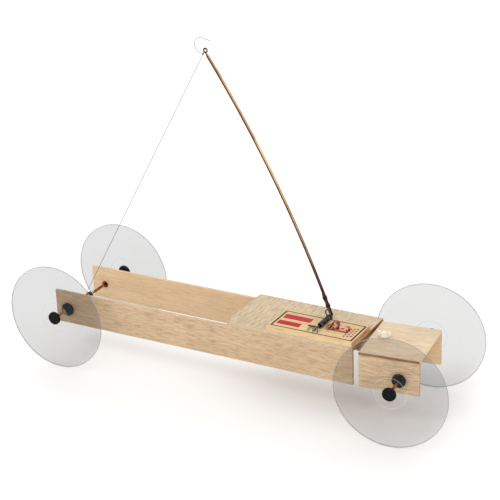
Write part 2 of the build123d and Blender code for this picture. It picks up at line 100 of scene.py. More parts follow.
class Sheet:
    """A material's node tree, with short calls for the nodes that the finishes share."""

    def __init__(self, name: str) -> None:
        """Starts a material with one shader.

        Args:
            name: the material's name.
        """
        self.material = bpy.data.materials.new(name)
        self.material.use_nodes = True
        self.nodes = self.material.node_tree.nodes
        self.links = self.material.node_tree.links
        self.nodes.clear()
        output = self.nodes.new("ShaderNodeOutputMaterial")
        self.shader = self.nodes.new("ShaderNodeBsdfPrincipled")
        self.links.new(self.shader.outputs[0], output.inputs["Surface"])
        coordinates = self.nodes.new("ShaderNodeTexCoord")
        self.places = coordinates.outputs["Object"]
        self.normals = coordinates.outputs["Normal"]

    def feed(self, socket: Socket, value: Value) -> None:
        """Links an output to a socket, or sets the socket to a plain value.

        Args:
            socket: the socket that is fed.
            value: another node's output, or a number or colour.
        """
        if isinstance(value, Socket):
            self.links.new(value, socket)
        else:
            socket.default_value = (*value, 1.0) if isinstance(value, tuple) else value

    def give(self, **values: Value) -> None:
        """Feeds the shader's sockets.

        Args:
            values: what each socket takes, named in lower case with underscores.
        """
        for name, value in values.items():
            socket = name.replace("_", " ").title().replace("Ior", "IOR")
            self.feed(self.shader.inputs[socket], value)

    def mapped(
        self, scale: Sequence[float], centre: Vector | None = None, turn: float = 0.0
    ) -> Socket:
        """Object coordinates from a centre, turned about the vertical and then scaled.

        Args:
            scale: how often the pattern repeats along each direction, per metre.
            centre: the pattern's centre; the object's own origin where none is given.
            turn: how far the piece is turned about the vertical, in radians.

        Returns:
            The scaled coordinates.
        """
        centred = self.nodes.new("ShaderNodeMapping")
        centred.vector_type = "TEXTURE"
        centred.inputs["Location"].default_value = centre or Vector()
        centred.inputs["Rotation"].default_value = (0, 0, turn)
        self.links.new(self.places, centred.inputs["Vector"])
        scaled = self.nodes.new("ShaderNodeMapping")
        scaled.inputs["Scale"].default_value = scale
        self.links.new(centred.outputs[0], scaled.inputs["Vector"])
        return scaled.outputs[0]

    def noise(
        self, places: Socket, scale: float = 1.0, detail: float = 3.0, bend: float = 0.0
    ) -> Socket:
        """Cloudy noise.

        Args:
            places: the coordinates that it is read at.
            scale: how often it repeats over them.
            detail: how many finer layers it has.
            bend: how far it is distorted.

        Returns:
            The noise, from 0 to 1.
        """
        node = self.nodes.new("ShaderNodeTexNoise")
        self.links.new(places, node.inputs["Vector"])
        node.inputs["Scale"].default_value = scale
        node.inputs["Detail"].default_value = detail
        node.inputs["Distortion"].default_value = bend
        return node.outputs["Fac"]

    def ramp(self, source: Socket, stops: Stops) -> Socket:
        """A colour ramp over a value.

        Args:
            source: the value, from 0 to 1.
            stops: places along the ramp and their colours.

        Returns:
            The ramp's colour.
        """
        node = self.nodes.new("ShaderNodeValToRGB")
        self.links.new(source, node.inputs["Fac"])
        elements = node.color_ramp.elements
        while len(elements) < len(stops):
            elements.new(1.0)
        for element, (place, colour) in zip(elements, stops):
            element.position = place
            element.color = (*colour, 1.0)
        return node.outputs["Color"]

    def band(self, source: Socket, low: float, high: float) -> Socket:
        """A value stretched over a band and clamped.

        Args:
            source: the value.
            low: the value that gives 0.
            high: the value that gives 1.

        Returns:
            The stretched value.
        """
        node = self.nodes.new("ShaderNodeMapRange")
        self.links.new(source, node.inputs["Value"])
        node.inputs["From Min"].default_value = low
        node.inputs["From Max"].default_value = high
        return node.outputs["Result"]

    def mix(self, factor: Value, first: Value, second: Value, blend: str = "MIX") -> Socket:
        """A blend of two colours.

        Args:
            factor: how much of the second shows, from 0 to 1.
            first: the first colour.
            second: the second colour.
            blend: the kind of blend.

        Returns:
            The blended colour.
        """
        node = self.nodes.new("ShaderNodeMix")
        node.data_type = "RGBA"
        node.blend_type = blend
        self.feed(node.inputs["Factor"], factor)
        for name, value in (("A", first), ("B", second)):
            self.feed(next(s for s in node.inputs if s.name == name and s.type == "RGBA"), value)
        return next(s for s in node.outputs if s.type == "RGBA")

    def worn(self, base: Value, source: Socket, stops: Stops, share: float = 0.8) -> Socket:
        """A colour that a ramp over a value darkens or lightens, shown by a share."""
        return self.mix(share, base, self.ramp(source, stops), "MULTIPLY")

    def math(self, operation: str, *values: Socket | float) -> Socket:
        """One Math node.

        Args:
            operation: what it does.
            values: the outputs or numbers that it does it to.

        Returns:
            Its result.
        """
        node = self.nodes.new("ShaderNodeMath")
        node.operation = operation
        for socket, value in zip(node.inputs, values):
            self.feed(socket, value)
        return node.outputs[0]

    def parts(self, vector: Socket) -> tuple[Socket, ...]:
        """The forward, left and up values of a vector.

        Args:
            vector: the vector's output.

        Returns:
            The three values.
        """
        node = self.nodes.new("ShaderNodeSeparateXYZ")
        self.links.new(vector, node.inputs[0])
        return tuple(node.outputs)

    def bump(self, height: Socket, strength: float, depth: float) -> None:
        """Gives the shader a bump from a height.

        Args:
            height: the height, from 0 to 1.
            strength: how much of the bump shows.
            depth: the height of 1, in metres.
        """
        node = self.nodes.new("ShaderNodeBump")
        node.inputs["Strength"].default_value = strength
        node.inputs["Distance"].default_value = depth
        self.links.new(height, node.inputs["Height"])
        self.links.new(node.outputs[0], self.shader.inputs["Normal"])


@dataclass(frozen=True)
class Finish:
    """A named finish, which lays its nodes out on a sheet."""

    name: str

    def lay(self, sheet: Sheet) -> None:
        """Lays the finish's nodes out on a sheet."""
        raise NotImplementedError

    def material(self) -> bpy.types.Material:
        """Makes the finish a material.

        Returns:
            The material.
        """
        sheet = Sheet(self.name)
        self.lay(sheet)
        return sheet.material


@dataclass(frozen=True)
class Wood(Finish):
    """Bare sawn or sanded wood, with its grain along a piece's forward or left direction.

    A grain is how often a layer repeats along the fibres and over them, per metre.
    """

    pale: Colour
    dark: Colour
    fleck: Colour
    across: bool = False
    centre: tuple[float, float, float] = (0.0, 0.0, 0.0)
    turn: float = 0.0
    streak: float = 0.5
    rings: float = 70.0
    roughness: float = 0.62
    fleck_show: float = 0.45
    bump_show: float = 0.35
    bump_depth: float = 0.12 * MM

    RING_ALONG: ClassVar[float] = 4.0
    LINE_GRAIN: ClassVar[tuple[float, float]] = (75.0, 880.0)
    HAIR_GRAIN: ClassVar[tuple[float, float]] = (90.0, 1900.0)
    PORE_GRAIN: ClassVar[tuple[float, float]] = (170.0, 1300.0)
    CLOUD_GRAIN: ClassVar[tuple[float, float]] = (14.0, 14.0)
    PORE_BAND: ClassVar[tuple[float, float]] = (0.60, 0.68)
    PORE_DEPTH: ClassVar[float] = 0.8
    LINES: ClassVar[Stops] = (
        (0.34, (0.62, 0.57, 0.51)),
        (0.50, (1.0, 0.99, 0.98)),
        (0.68, (1.12, 1.11, 1.09)),
    )
    HAIRS: ClassVar[Stops] = ((0.32, (0.84, 0.82, 0.79)), (0.60, (1.04, 1.04, 1.03)))
    CLOUDS: ClassVar[Stops] = ((0.30, (0.91, 0.90, 0.88)), (0.72, (1.05, 1.05, 1.05)))

    def layer(
        self, sheet: Sheet, grain: tuple[float, float], detail: float = 3.0, bend: float = 0.0
    ) -> Socket:
        """One layer of noise, stretched along the fibres.

        Args:
            sheet: the material's nodes.
            grain: how often the layer repeats along the fibres and over them.
            detail: how many finer layers the noise has.
            bend: how far it is distorted.

        Returns:
            The layer, from 0 to 1.
        """
        along, over = grain
        scale = (over, along, over) if self.across else (along, over, over)
        return sheet.noise(sheet.mapped(scale, Vector(self.centre), self.turn), 1.0, detail, bend)

    def colour(self, sheet: Sheet) -> tuple[Socket, Socket]:
        """Lays out the grain.

        Args:
            sheet: the material's nodes.

        Returns:
            The wood's colour, and the height of its surface from 0 to 1.
        """
        rings = self.layer(sheet, (self.RING_ALONG, self.rings), bend=0.6)
        lines = self.layer(sheet, self.LINE_GRAIN)
        hairs = self.layer(sheet, self.HAIR_GRAIN)
        flecks = self.layer(sheet, self.PORE_GRAIN, detail=2.0)
        clouds = self.layer(sheet, self.CLOUD_GRAIN)
        base = sheet.ramp(rings, ((0.36, self.pale), (0.52, self.dark), (0.66, self.pale)))
        base = sheet.worn(base, lines, self.LINES, self.streak)
        base = sheet.worn(base, hairs, self.HAIRS, self.streak)
        base = sheet.worn(base, clouds, self.CLOUDS)
        pores = sheet.band(flecks, *self.PORE_BAND)
        base = sheet.mix(sheet.math("MULTIPLY", pores, self.fleck_show), base, self.fleck)
        height = sheet.math("SUBTRACT", lines, sheet.math("MULTIPLY", pores, self.PORE_DEPTH))
        return base, height

    def lay(self, sheet: Sheet) -> None:
        """Lays the wood out.

        Args:
            sheet: the material's nodes.
        """
        base, height = self.colour(sheet)
        sheet.give(base_color=base, roughness=self.roughness, specular_ior_level=0.3)
        sheet.bump(height, self.bump_show, self.bump_depth)


@dataclass(frozen=True)
class GrainyBoardEdge(Finish):
    """A board's darker, more orange end or edge with dotted pores: end grain on sawn ends, painted
    shade on edges that run along the grain.
    """

    pale: Colour
    dark: Colour
    roughness: float = 0.75

    GROWTH: ClassVar[tuple[float, float, float]] = (60.0, 60.0, 620.0)
    PORES: ClassVar[float] = 1500.0
    DOTS: ClassVar[Stops] = ((0.36, (0.66, 0.60, 0.54)), (0.56, (1.0, 1.0, 1.0)))

    def lay(self, sheet: Sheet) -> None:
        """Lays the end grain out.

        Args:
            sheet: the material's nodes.
        """
        growth = sheet.noise(sheet.mapped(self.GROWTH), bend=0.5)
        pores = sheet.noise(sheet.places, self.PORES)
        base = sheet.ramp(growth, ((0.36, self.dark), (0.60, self.pale)))
        base = sheet.worn(base, pores, self.DOTS)
        sheet.give(base_color=base, roughness=self.roughness, specular_ior_level=0.25)
        sheet.bump(pores, strength=0.35, depth=0.1 * MM)


@dataclass(frozen=True)
class Mark:
    """One printed block on the trap's base, in the base's own frame: forward, then left."""

    forward: tuple[float, float]
    left: tuple[float, float]
    ink: Colour
    wear: float = 0.25


@dataclass(frozen=True)
class PrintedWood(Wood):
    """Wood with ink printed on its top face, worn off in patches."""

    bump_show: float = 0.3
    bump_depth: float = 0.1 * MM
    marks: tuple[Mark, ...] = ()
    print_depth: float = 0.4 * MM

    PATCHES: ClassVar[tuple[float, float, float]] = (240.0, 1400.0, 240.0)
    WEAR_EDGE: ClassVar[float] = 0.18

    def colour(self, sheet: Sheet) -> tuple[Socket, Socket]:
        """Lays out the grain with the print over it.

        Args:
            sheet: the material's nodes.

        Returns:
            The printed wood's colour, and the height of its surface from 0 to 1.
        """
        base, height = super().colour(sheet)
        centre = Vector(self.centre)
        forward, left, up = sheet.parts(sheet.mapped((1, 1, 1), centre))
        on_top = sheet.math("GREATER_THAN", up, -self.print_depth)
        patchy = sheet.noise(sheet.mapped(self.PATCHES, centre))
        for mark in self.marks:
            block = on_top
            for place, (low, high) in ((forward, mark.forward), (left, mark.left)):
                inside = sheet.math("COMPARE", place, (low + high) / 2, (high - low) / 2)
                block = sheet.math("MULTIPLY", block, inside)
            worn = sheet.band(patchy, mark.wear, mark.wear + self.WEAR_EDGE)
            base = sheet.mix(sheet.math("MULTIPLY", block, worn), base, mark.ink)
        return base, height


@dataclass(frozen=True)
class Metal(Finish):
    """Bare or plated metal with fine wear and faint stains.

    A low tone darkens it below a band of heights, and a painted shade darkens its faces that look
    backward, which leaves a painted highlight on the faces that look forward.
    """

    bright: Colour
    stained: Colour
    roughness: float
    wear_scale: float = 420.0
    low_tone: Colour | None = None
    low_band: tuple[float, float] = (0.0, 0.0)
    painted_back_shade: Colour | None = None
    painted_back_shade_band: tuple[float, float] = (0.22, 0.60)

    STAIN_SHARE: ClassVar[float] = 0.3
    SCRATCH_SHARE: ClassVar[float] = 6.0
    ROUGH_SPREAD: ClassVar[float] = 0.22

    def lay(self, sheet: Sheet) -> None:
        """Lays the metal out.

        Args:
            sheet: the material's nodes.
        """
        stains = sheet.noise(sheet.places, self.wear_scale * self.STAIN_SHARE, 4.0, 0.4)
        scratches = sheet.noise(sheet.places, self.wear_scale * self.SCRATCH_SHARE)
        base = sheet.ramp(stains, ((0.38, self.stained), (0.62, self.bright)))
        if self.low_tone:
            up = sheet.parts(sheet.places)[2]
            base = sheet.mix(sheet.band(up, *self.low_band), self.low_tone, base)
        # Painted shade on the faces whose object normal looks backward, which leaves a painted
        # highlight on the faces that look forward.
        if self.painted_back_shade:
            ahead = sheet.parts(sheet.normals)[0]
            base = sheet.mix(sheet.band(ahead, *self.painted_back_shade_band), self.painted_back_shade, base)
        smoothest = self.roughness - self.ROUGH_SPREAD / 2
        rough = sheet.math("MULTIPLY_ADD", scratches, self.ROUGH_SPREAD, smoothest)
        sheet.give(base_color=base, metallic=1.0, roughness=rough)
        sheet.bump(scratches, strength=0.12, depth=0.04 * MM)


@dataclass(frozen=True)
class Rubber(Finish):
    """Black moulded rubber, a little dusty."""

    clean: Colour
    dusty: Colour
    smoothest: float = 0.26
    rough_spread: float = 0.3

    DUST: ClassVar[float] = 260.0
    PIMPLES: ClassVar[float] = 2400.0

    def lay(self, sheet: Sheet) -> None:
        """Lays the rubber out.

        Args:
            sheet: the material's nodes.
        """
        dust = sheet.noise(sheet.places, self.DUST, 5.0, 0.3)
        pimples = sheet.noise(sheet.places, self.PIMPLES, 2.0)
        rough = sheet.math("MULTIPLY_ADD", dust, self.rough_spread, self.smoothest)
        base = sheet.ramp(dust, ((0.45, self.clean), (0.75, self.dusty)))
        sheet.give(base_color=base, roughness=rough, specular_ior_level=0.10)
        sheet.bump(pimples, strength=0.18, depth=0.06 * MM)


@dataclass(frozen=True)
class ClearPlastic(Finish):
    """Clear moulded plastic seen as a thin film: mostly see-through, faintly hazy and glossy."""

    tint: Colour
    film: float
    roughness: float = 0.07

    HAZE: ClassVar[float] = 16.0
    HAZE_SHARE: ClassVar[float] = 0.10
    CLEAREST: ClassVar[float] = 0.95
    PALE_GAIN: ClassVar[float] = 1.12
    SCUFFS: ClassVar[tuple[float, float, float]] = (60.0, 60.0, 900.0)
    ROUGH_SPREAD: ClassVar[float] = 0.1

    def lay(self, sheet: Sheet) -> None:
        """Lays the plastic out.

        Args:
            sheet: the material's nodes.
        """
        haze = sheet.noise(sheet.places, self.HAZE, bend=0.5)
        scuffs = sheet.noise(sheet.mapped(self.SCUFFS), detail=4.0)
        pale = tuple(min(1.0, part * self.PALE_GAIN) for part in self.tint)
        clearest = self.film * self.CLEAREST
        film = sheet.math("MULTIPLY_ADD", haze, self.HAZE_SHARE * self.film, clearest)
        rough = sheet.math("MULTIPLY_ADD", scuffs, self.ROUGH_SPREAD, self.roughness)
        base = sheet.ramp(haze, ((0.3, self.tint), (0.7, pale)))
        sheet.give(base_color=base, alpha=film, roughness=rough, specular_ior_level=0.35)


@dataclass(frozen=True)
class Nylon(Finish):
    """Cream moulded nylon, slightly waxy."""

    tone: Colour
    shade: Colour
    roughness: float = 0.42
    glow: float = 0.15
    glow_depth: float = 0.8 * MM

    CLOUDS: ClassVar[float] = 180.0
    GRAIN: ClassVar[float] = 2600.0

    def lay(self, sheet: Sheet) -> None:
        """Lays the nylon out.

        Args:
            sheet: the material's nodes.
        """
        clouds = sheet.noise(sheet.places, self.CLOUDS, 4.0, 0.2)
        grain = sheet.noise(sheet.places, self.GRAIN, 2.0)
        base = sheet.ramp(clouds, ((0.35, self.shade), (0.65, self.tone)))
        sheet.give(base_color=base, roughness=self.roughness)
        sheet.give(subsurface_weight=self.glow, subsurface_scale=self.glow_depth)
        sheet.bump(grain, strength=0.1, depth=0.03 * MM)


@dataclass(frozen=True)
class Twine(Finish):
    """Fine twisted grey line."""

    pale: Colour
    dark: Colour
    roughness: float = 0.55
    sheen: float = 0.3

    TWIST: ClassVar[float] = 900.0
    TWIST_BEND: ClassVar[float] = 2.0
    TWIST_STRETCH: ClassVar[tuple[float, float, float]] = (1.0, 1.0, 1.6)
    FIBRES: ClassVar[float] = 5200.0

    def lay(self, sheet: Sheet) -> None:
        """Lays the string out.

        Args:
            sheet: the material's nodes.
        """
        twist = sheet.nodes.new("ShaderNodeTexWave")
        sheet.links.new(sheet.mapped(self.TWIST_STRETCH), twist.inputs["Vector"])
        twist.inputs["Scale"].default_value = self.TWIST
        twist.inputs["Distortion"].default_value = self.TWIST_BEND
        twist.bands_direction = "DIAGONAL"
        fibres = sheet.noise(sheet.places, self.FIBRES, 2.0)
        base = sheet.ramp(twist.outputs["Fac"], ((0.2, self.dark), (0.8, self.pale)))
        sheet.give(base_color=base, roughness=self.roughness, sheen_weight=self.sheen)
        sheet.bump(fibres, strength=0.3, depth=0.03 * MM)


class Slot(Enum):
    """The record's material slots."""

    BALSA = "balsa"
    PLYWOOD = "plywood"
    TRAP_WOOD = "trap_wood"
    BRASS = "brass"
    LASHING_BRASS = "lashing_brass"
    CLEAR_PLASTIC = "clear_plastic"
    BLACK_RUBBER = "black_rubber"
    NYLON = "nylon"
    BRIGHT_STEEL = "bright_steel"
    DARK_STEEL = "dark_steel"
    COPPER_PLATE = "copper_plate"
    STRING = "string"


SHARED_FINISHES = {
    Slot.PLYWOOD: Wood(
        "plywood", (0.50, 0.35, 0.20), (0.40, 0.27, 0.15), (0.18, 0.10, 0.05), across=True
    ),
    Slot.BRASS: Metal("warm_brass", (0.56, 0.26, 0.11), (0.24, 0.09, 0.035), 0.26),
    Slot.LASHING_BRASS: Metal(
        "darkened_wire", (0.10, 0.035, 0.02), (0.030, 0.010, 0.008), 0.32
    ),
    Slot.BLACK_RUBBER: Rubber("black_rubber", (0.0025, 0.0027, 0.003), (0.008, 0.009, 0.011)),
    Slot.NYLON: Nylon("cream_nylon", (0.83, 0.80, 0.68), (0.72, 0.67, 0.52)),
    Slot.BRIGHT_STEEL: Metal("bright_steel", (0.20, 0.195, 0.19), (0.06, 0.055, 0.05), 0.28),
    Slot.DARK_STEEL: Metal("spring_steel", (0.10, 0.10, 0.105), (0.014, 0.012, 0.012), 0.20),
    Slot.COPPER_PLATE: Metal("copper_plate", (0.56, 0.23, 0.15), (0.22, 0.070, 0.045), 0.40),
    Slot.STRING: Twine("grey_string", (0.035, 0.035, 0.038), (0.008, 0.008, 0.009)),
}


class Finishes:
    """Every material of the car, each made once."""

    def __init__(self) -> None:
        """Starts with no material made."""
        self.made: dict[str, bpy.types.Material] = {}

    def of(self, finish: Finish | Slot) -> bpy.types.Material:
        """The material of a finish.

        Args:
            finish: the finish, or a slot that has one finish for the whole car.

        Returns:
            The material.
        """
        if isinstance(finish, Slot):
            finish = SHARED_FINISHES[finish]
        if finish.name not in self.made:
            self.made[finish.name] = finish.material()
        return self.made[finish.name]


# ---------------------------------------------------------------- shaping


def place_at(origin: Vector, forward: Vector, left: Vector) -> Matrix:
    """A frame's matrix from its origin and two of its directions."""
    turn = Matrix((forward, left, forward.cross(left))).transposed()
    return Matrix.Translation(origin) @ turn.to_4x4()


def upright(place: Matrix) -> Matrix:
    """The frame of an upright plane of another frame: X forward, Y up, Z to the right."""
    return place @ Matrix.Rotation(QUARTER_TURN, 4, "X")


def soften(shape: Shape, amount: float) -> None:
    """Bevels every sharp edge.

    Args:
        shape: the mesh.
        amount: the bevel's width.
    """
    edges = [e for e in shape.edges if e.is_manifold and e.calc_face_angle() > SHARP_OVER]
    bmesh.ops.bevel(
        shape, geom=edges, offset=amount, segments=2, profile=0.5, affect="EDGES", material=-1
    )


def round_corners(
    shape: Shape, corners: Sequence[bmesh.types.BMVert], amount: float, segments: int
) -> None:
    """Rounds the corners of an outline.

    Args:
        shape: the mesh that holds the outline.
        corners: the outline's points that are rounded.
        amount: how far a corner is cut back.
        segments: how many facets a corner gets.
    """
    bmesh.ops.bevel(
        shape,
        geom=corners,
        offset=amount,
        segments=segments,
        profile=0.5,
        affect="VERTICES",
        material=-1,
    )


def fill_loops(shape: Shape, depth: float) -> None:
    """Fills flat loops as one face with holes and draws it up to a closed solid.

    Args:
        shape: the mesh that holds the loops.
        depth: how far the face is drawn up.
    """
    bmesh.ops.triangle_fill(shape, use_beauty=True, use_dissolve=False, edges=shape.edges[:])
    made = bmesh.ops.extrude_face_region(shape, geom=shape.faces[:], use_keep_orig=True)["geom"]
    raised = [v for v in made if isinstance(v, bmesh.types.BMVert)]
    bmesh.ops.translate(shape, verts=raised, vec=(0, 0, depth))
    bmesh.ops.recalc_face_normals(shape, faces=shape.faces[:])


def cut_sheet(
    outline: Outline,
    low: float,
    high: float,
    place: Matrix,
    holes: Sequence[Hole] = (),
    rounded: Sequence[int] = (),
    corner: float = 0.0,
    edge: float = 0.25 * MM,
) -> Shape:
    """A flat sheet cut to an outline, with round holes through it.

    Args:
        outline: the outline's points, in the first two directions of the sheet's frame.
        low: the sheet's lower face, in the frame's third direction.
        high: its upper face.
        place: the frame.
        holes: each hole's centre and radius.
        rounded: which of the outline's points are rounded.
        corner: the radius of the rounded points.
        edge: how far the edges are sanded round.

    Returns:
        The sheet's mesh.
    """
    shape = bmesh.new()
    corners = [shape.verts.new((x, y, low)) for x, y in outline]
    for first, second in zip(corners, corners[1:] + corners[:1]):
        shape.edges.new((first, second))
    if rounded:
        round_corners(shape, [corners[index] for index in rounded], corner, 6)
    for x, y, radius in holes:
        centre = Matrix.Translation((x, y, low))
        bmesh.ops.create_circle(shape, cap_ends=False, radius=radius, segments=40, matrix=centre)
    fill_loops(shape, high - low)
    if edge:
        soften(shape, edge)
    shape.transform(place)
    return shape


def board(
    low: Vector,
    high: Vector,
    place: Matrix,
    holes: Sequence[Hole] = (),
    rounded: Sequence[int] = (),
    corner: float = 0.0,
    edge: float = 0.25 * MM,
) -> Shape:
    """A sawn board that fills a box of some frame; its corners count from the low one."""
    outline = ((low.x, low.y), (high.x, low.y), (high.x, high.y), (low.x, high.y))
    return cut_sheet(outline, low.z, high.z, place, holes, rounded, corner, edge)


def mark_ends(shape: Shape, directions: Sequence[Vector]) -> Shape:
    """Gives a board's second finish to the faces that look in some directions.

    Args:
        shape: the board's mesh.
        directions: where the faces with the second finish look.

    Returns:
        The same mesh.
    """
    bmesh.ops.recalc_face_normals(shape, faces=shape.faces[:])
    for face in shape.faces:
        if any(face.normal.dot(direction) > END_FACING for direction in directions):
            face.material_index = 1
    return shape


def lathe(
    outline: Outline, place: Matrix, steps: int = 64, rounding: float = 0.0
) -> Shape:
    """Turns an outline round a frame's left direction.

    Args:
        outline: points out from the axis and along it. An outline that starts and ends on the
            axis gives a solid, and any other is closed and gives a ring.
        place: the frame, whose left direction is the axis.
        steps: facets round the axis.
        rounding: the radius of the outline's corners.

    Returns:
        The turned mesh.
    """
    shape = bmesh.new()
    points = [shape.verts.new((out, along, 0)) for out, along in outline]
    for first, second in zip(points, points[1:]):
        shape.edges.new((first, second))
    if outline[0][0] > 0:
        shape.edges.new((points[-1], points[0]))
    if rounding:
        round_corners(shape, [v for v in points if v.co.x > 0], rounding, 3)
    geometry = shape.verts[:] + shape.edges[:]
    bmesh.ops.spin(
        shape,
        geom=geometry,
        cent=(0, 0, 0),
        axis=LEFT,
        angle=FULL_TURN,
        steps=steps,
        use_merge=True,
    )
    bmesh.ops.remove_doubles(shape, verts=shape.verts[:], dist=MERGE_DISTANCE)
    shape.transform(place)
    return shape


class Drawn:
    """A round wire or a flat strip, drawn out and bent the way a wire former makes it."""

    def __init__(
        self,
        start: Vector,
        heading: Vector,
        radius: float,
        sides: int = 12,
        strip: tuple[float, float] | None = None,
        across: Vector = LEFT,
    ) -> None:
        """Starts at one end.

        Args:
            start: the middle of the first section.
            heading: the direction that it is drawn in.
            radius: the wire's radius; not used by a strip.
            sides: how many facets a round wire has.
            strip: a flat strip's width and thickness.
            across: the direction of the section's width.
        """
        self.shape = bmesh.new()
        self.point = start.copy()
        self.heading = heading.normalized()
        width = (across - across.dot(self.heading) * self.heading).normalized()
        section = place_at(self.point, width, self.heading.cross(width))
        if strip:
            wide, thick = strip
            size = Matrix.Diagonal((wide, thick, 1, 1)) @ Matrix.Rotation(QUARTER_TURN / 2, 4, "Z")
            made = bmesh.ops.create_circle(
                self.shape, cap_ends=False, radius=math.sqrt(0.5), segments=4, matrix=section @ size
            )
        else:
            made = bmesh.ops.create_circle(
                self.shape, cap_ends=False, radius=radius, segments=sides, matrix=section
            )
        self.rim = self.edges_between(made["verts"])
        self.first_rim = self.rim
        self.path = [self.point.copy()]

    @staticmethod
    def edges_between(verts: Iterable[bmesh.types.BMVert]) -> list[bmesh.types.BMEdge]:
        """The edges that join some points with each other.

        Args:
            verts: the points.

        Returns:
            Their edges.
        """
        chosen = set(verts)
        joining = (e for v in chosen for e in v.link_edges if v == e.verts[0])
        return [e for e in joining if e.verts[1] in chosen]

    def straight(self, length: float, steps: int = 1, grow: float = 1.0) -> "Drawn":
        """Draws a straight run.

        Args:
            length: the run's length.
            steps: how many sections it has.
            grow: the section's size at the end, as a share of its size at the start.

        Returns:
            The wire itself.
        """
        for _ in range(steps):
            made = bmesh.ops.extrude_edge_only(self.shape, edges=self.rim)["geom"]
            verts = [v for v in made if isinstance(v, bmesh.types.BMVert)]
            step = self.heading * (length / steps)
            bmesh.ops.translate(self.shape, verts=verts, vec=step)
            self.point += step
            if grow != 1.0:
                share = grow ** (1 / steps)
                centre = Matrix.Translation(-self.point)
                bmesh.ops.scale(self.shape, verts=verts, vec=(share, share, share), space=centre)
            self.rim = self.edges_between(verts)
            self.path.append(self.point.copy())
        return self

    def bend(
        self, angle: float, about: Vector, radius: float, rise: Vector = Vector(), steps: int = 0
    ) -> "Drawn":
        """Draws a round bend, or a coil where it rises.

        Args:
            angle: how far it turns, in radians, right-handed about the axis.
            about: the axis's direction.
            radius: the bend's radius.
            rise: how far the whole bend climbs.
            steps: how many sections it has; 0 gives one for every sixteenth of a turn.

        Returns:
            The wire itself.
        """
        steps = steps or max(3, math.ceil(abs(angle) / (FULL_TURN / BEND_FACETS)))
        about = about.normalized()
        centre = self.point + about.cross(self.heading) * radius
        verts = list({v for e in self.rim for v in e.verts})
        made = bmesh.ops.spin(
            self.shape,
            geom=verts + self.rim,
            cent=centre,
            axis=about,
            dvec=rise / steps,
            angle=angle,
            steps=steps,
            use_merge=False,
        )["geom_last"]
        for index in range(1, steps + 1):
            turn = Matrix.Rotation(angle * index / steps, 3, about)
            self.path.append(centre + turn @ (self.point - centre) + rise * (index / steps))
        self.point = self.path[-1].copy()
        self.heading = Matrix.Rotation(angle, 3, about) @ self.heading
        self.rim = self.edges_between(v for v in made if isinstance(v, bmesh.types.BMVert))
        return self

    def cut(self, chamfer: float = 0.0) -> Shape:
        """Closes both ends and gives the mesh.

        Args:
            chamfer: how far the cut ends are filed round.

        Returns:
            The closed mesh.
        """
        faces = []
        for rim in (self.first_rim, self.rim):
            faces += bmesh.ops.edgeloop_fill(self.shape, edges=rim)["faces"]
        if chamfer:
            rims = list({e for face in faces for e in face.edges})
            bmesh.ops.bevel(
                self.shape,
                geom=rims,
                offset=chamfer,
                segments=2,
                profile=0.5,
                affect="EDGES",
                material=-1,
            )
        bmesh.ops.recalc_face_normals(self.shape, faces=self.shape.faces[:])
        return self.shape


def joined(shapes: Sequence[Shape]) -> Shape:
    """Several meshes as one, each kept as its own closed shell.

    Args:
        shapes: the meshes; they are freed.

    Returns:
        The one mesh.
    """
    whole = bmesh.new()
    for shape in shapes:
        carrier = bpy.data.meshes.new("carrier")
        shape.to_mesh(carrier)
        shape.free()
        whole.from_mesh(carrier)
        bpy.data.meshes.remove(carrier)
    return whole


class Body(Enum):
    """The frame's moving bodies."""

    CHASSIS = "chassis"
    REAR_AXLE = "rear_axle_set"
    CARRIAGE = "front_carriage"
    FRONT_AXLE = "front_axle_set"
    LEVER = "lever"
    PEDAL = "pedal"
    WING_NUT = "wing_nut"


class Workshop:
    """Turns meshes into finished pieces that ride on the frame's bodies."""

    def __init__(self, nodes: dict[str, bpy.types.Object], finishes: Finishes) -> None:
        """Takes the CAD nodes by name and the car's finishes."""
        self.nodes = nodes
        self.finishes = finishes

    def local_box(self, node: str, place: Matrix) -> tuple[Vector, Vector]:
        """A CAD node's lowest and highest corner in some frame.

        Args:
            node: the node's name.
            place: the frame.

        Returns:
            The lowest and the highest corner.
        """
        inward = place.inverted()
        points = [inward @ v.co for v in self.nodes[node].data.vertices]
        low = Vector(min(p[k] for p in points) for k in range(3))
        high = Vector(max(p[k] for p in points) for k in range(3))
        return low, high

    def clear_piece(self, *details: object) -> None:
        """Makes one finished piece of clear plastic, which casts no shadow of its own."""
        self.piece(*details).visible_shadow = False

    def piece(
        self,
        name: str,
        shape: Shape,
        body: Body,
        slot: Slot,
        replaces: Sequence[str],
        finishes: Sequence[Finish | Slot] = (),
        ride: bool = True,
    ) -> bpy.types.Object:
        """Makes one finished piece.

        Args:
            name: the piece's name.
            shape: its mesh, in place; it is freed.
            body: the body that it rides on.
            slot: the record's material slot.
            replaces: the CAD nodes that it stands for.
            finishes: its finishes where it has more than the slot's own.
            ride: whether it rides on its body now; the taut string doesn't.

        Returns:
            The piece.
        """
        bmesh.ops.remove_doubles(shape, verts=shape.verts[:], dist=MERGE_DISTANCE)
        bmesh.ops.recalc_face_normals(shape, faces=shape.faces[:])
        mesh = bpy.data.meshes.new(name)
        shape.to_mesh(mesh)
        shape.free()
        mesh.shade_smooth()
        mesh.set_sharp_from_angle(angle=SMOOTH_UNDER)
        thing = bpy.data.objects.new(name, mesh)
        for finish in finishes or (slot,):
            mesh.materials.append(self.finishes.of(finish))
        self.enter(thing, body, replaces, ride)
        return thing

    def enter(
        self,
        thing: bpy.types.Object,
        body: Body,
        replaces: Sequence[str],
        ride: bool = True,
    ) -> None:
        """Puts a finished object in the scene, hides the CAD nodes that it stands for and reports
        it.

        Args:
            thing: the object.
            body: the body that it rides on.
            replaces: the CAD nodes that it stands for.
            ride: whether it rides on its body now; the taut string doesn't.
        """
        bpy.context.scene.collection.objects.link(thing)
        if ride:
            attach(thing, body.value)
        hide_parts(*replaces)
        LOG.info("%s is on %s", thing.name, body.value)


# ---------------------------------------------------------------- the car's frames


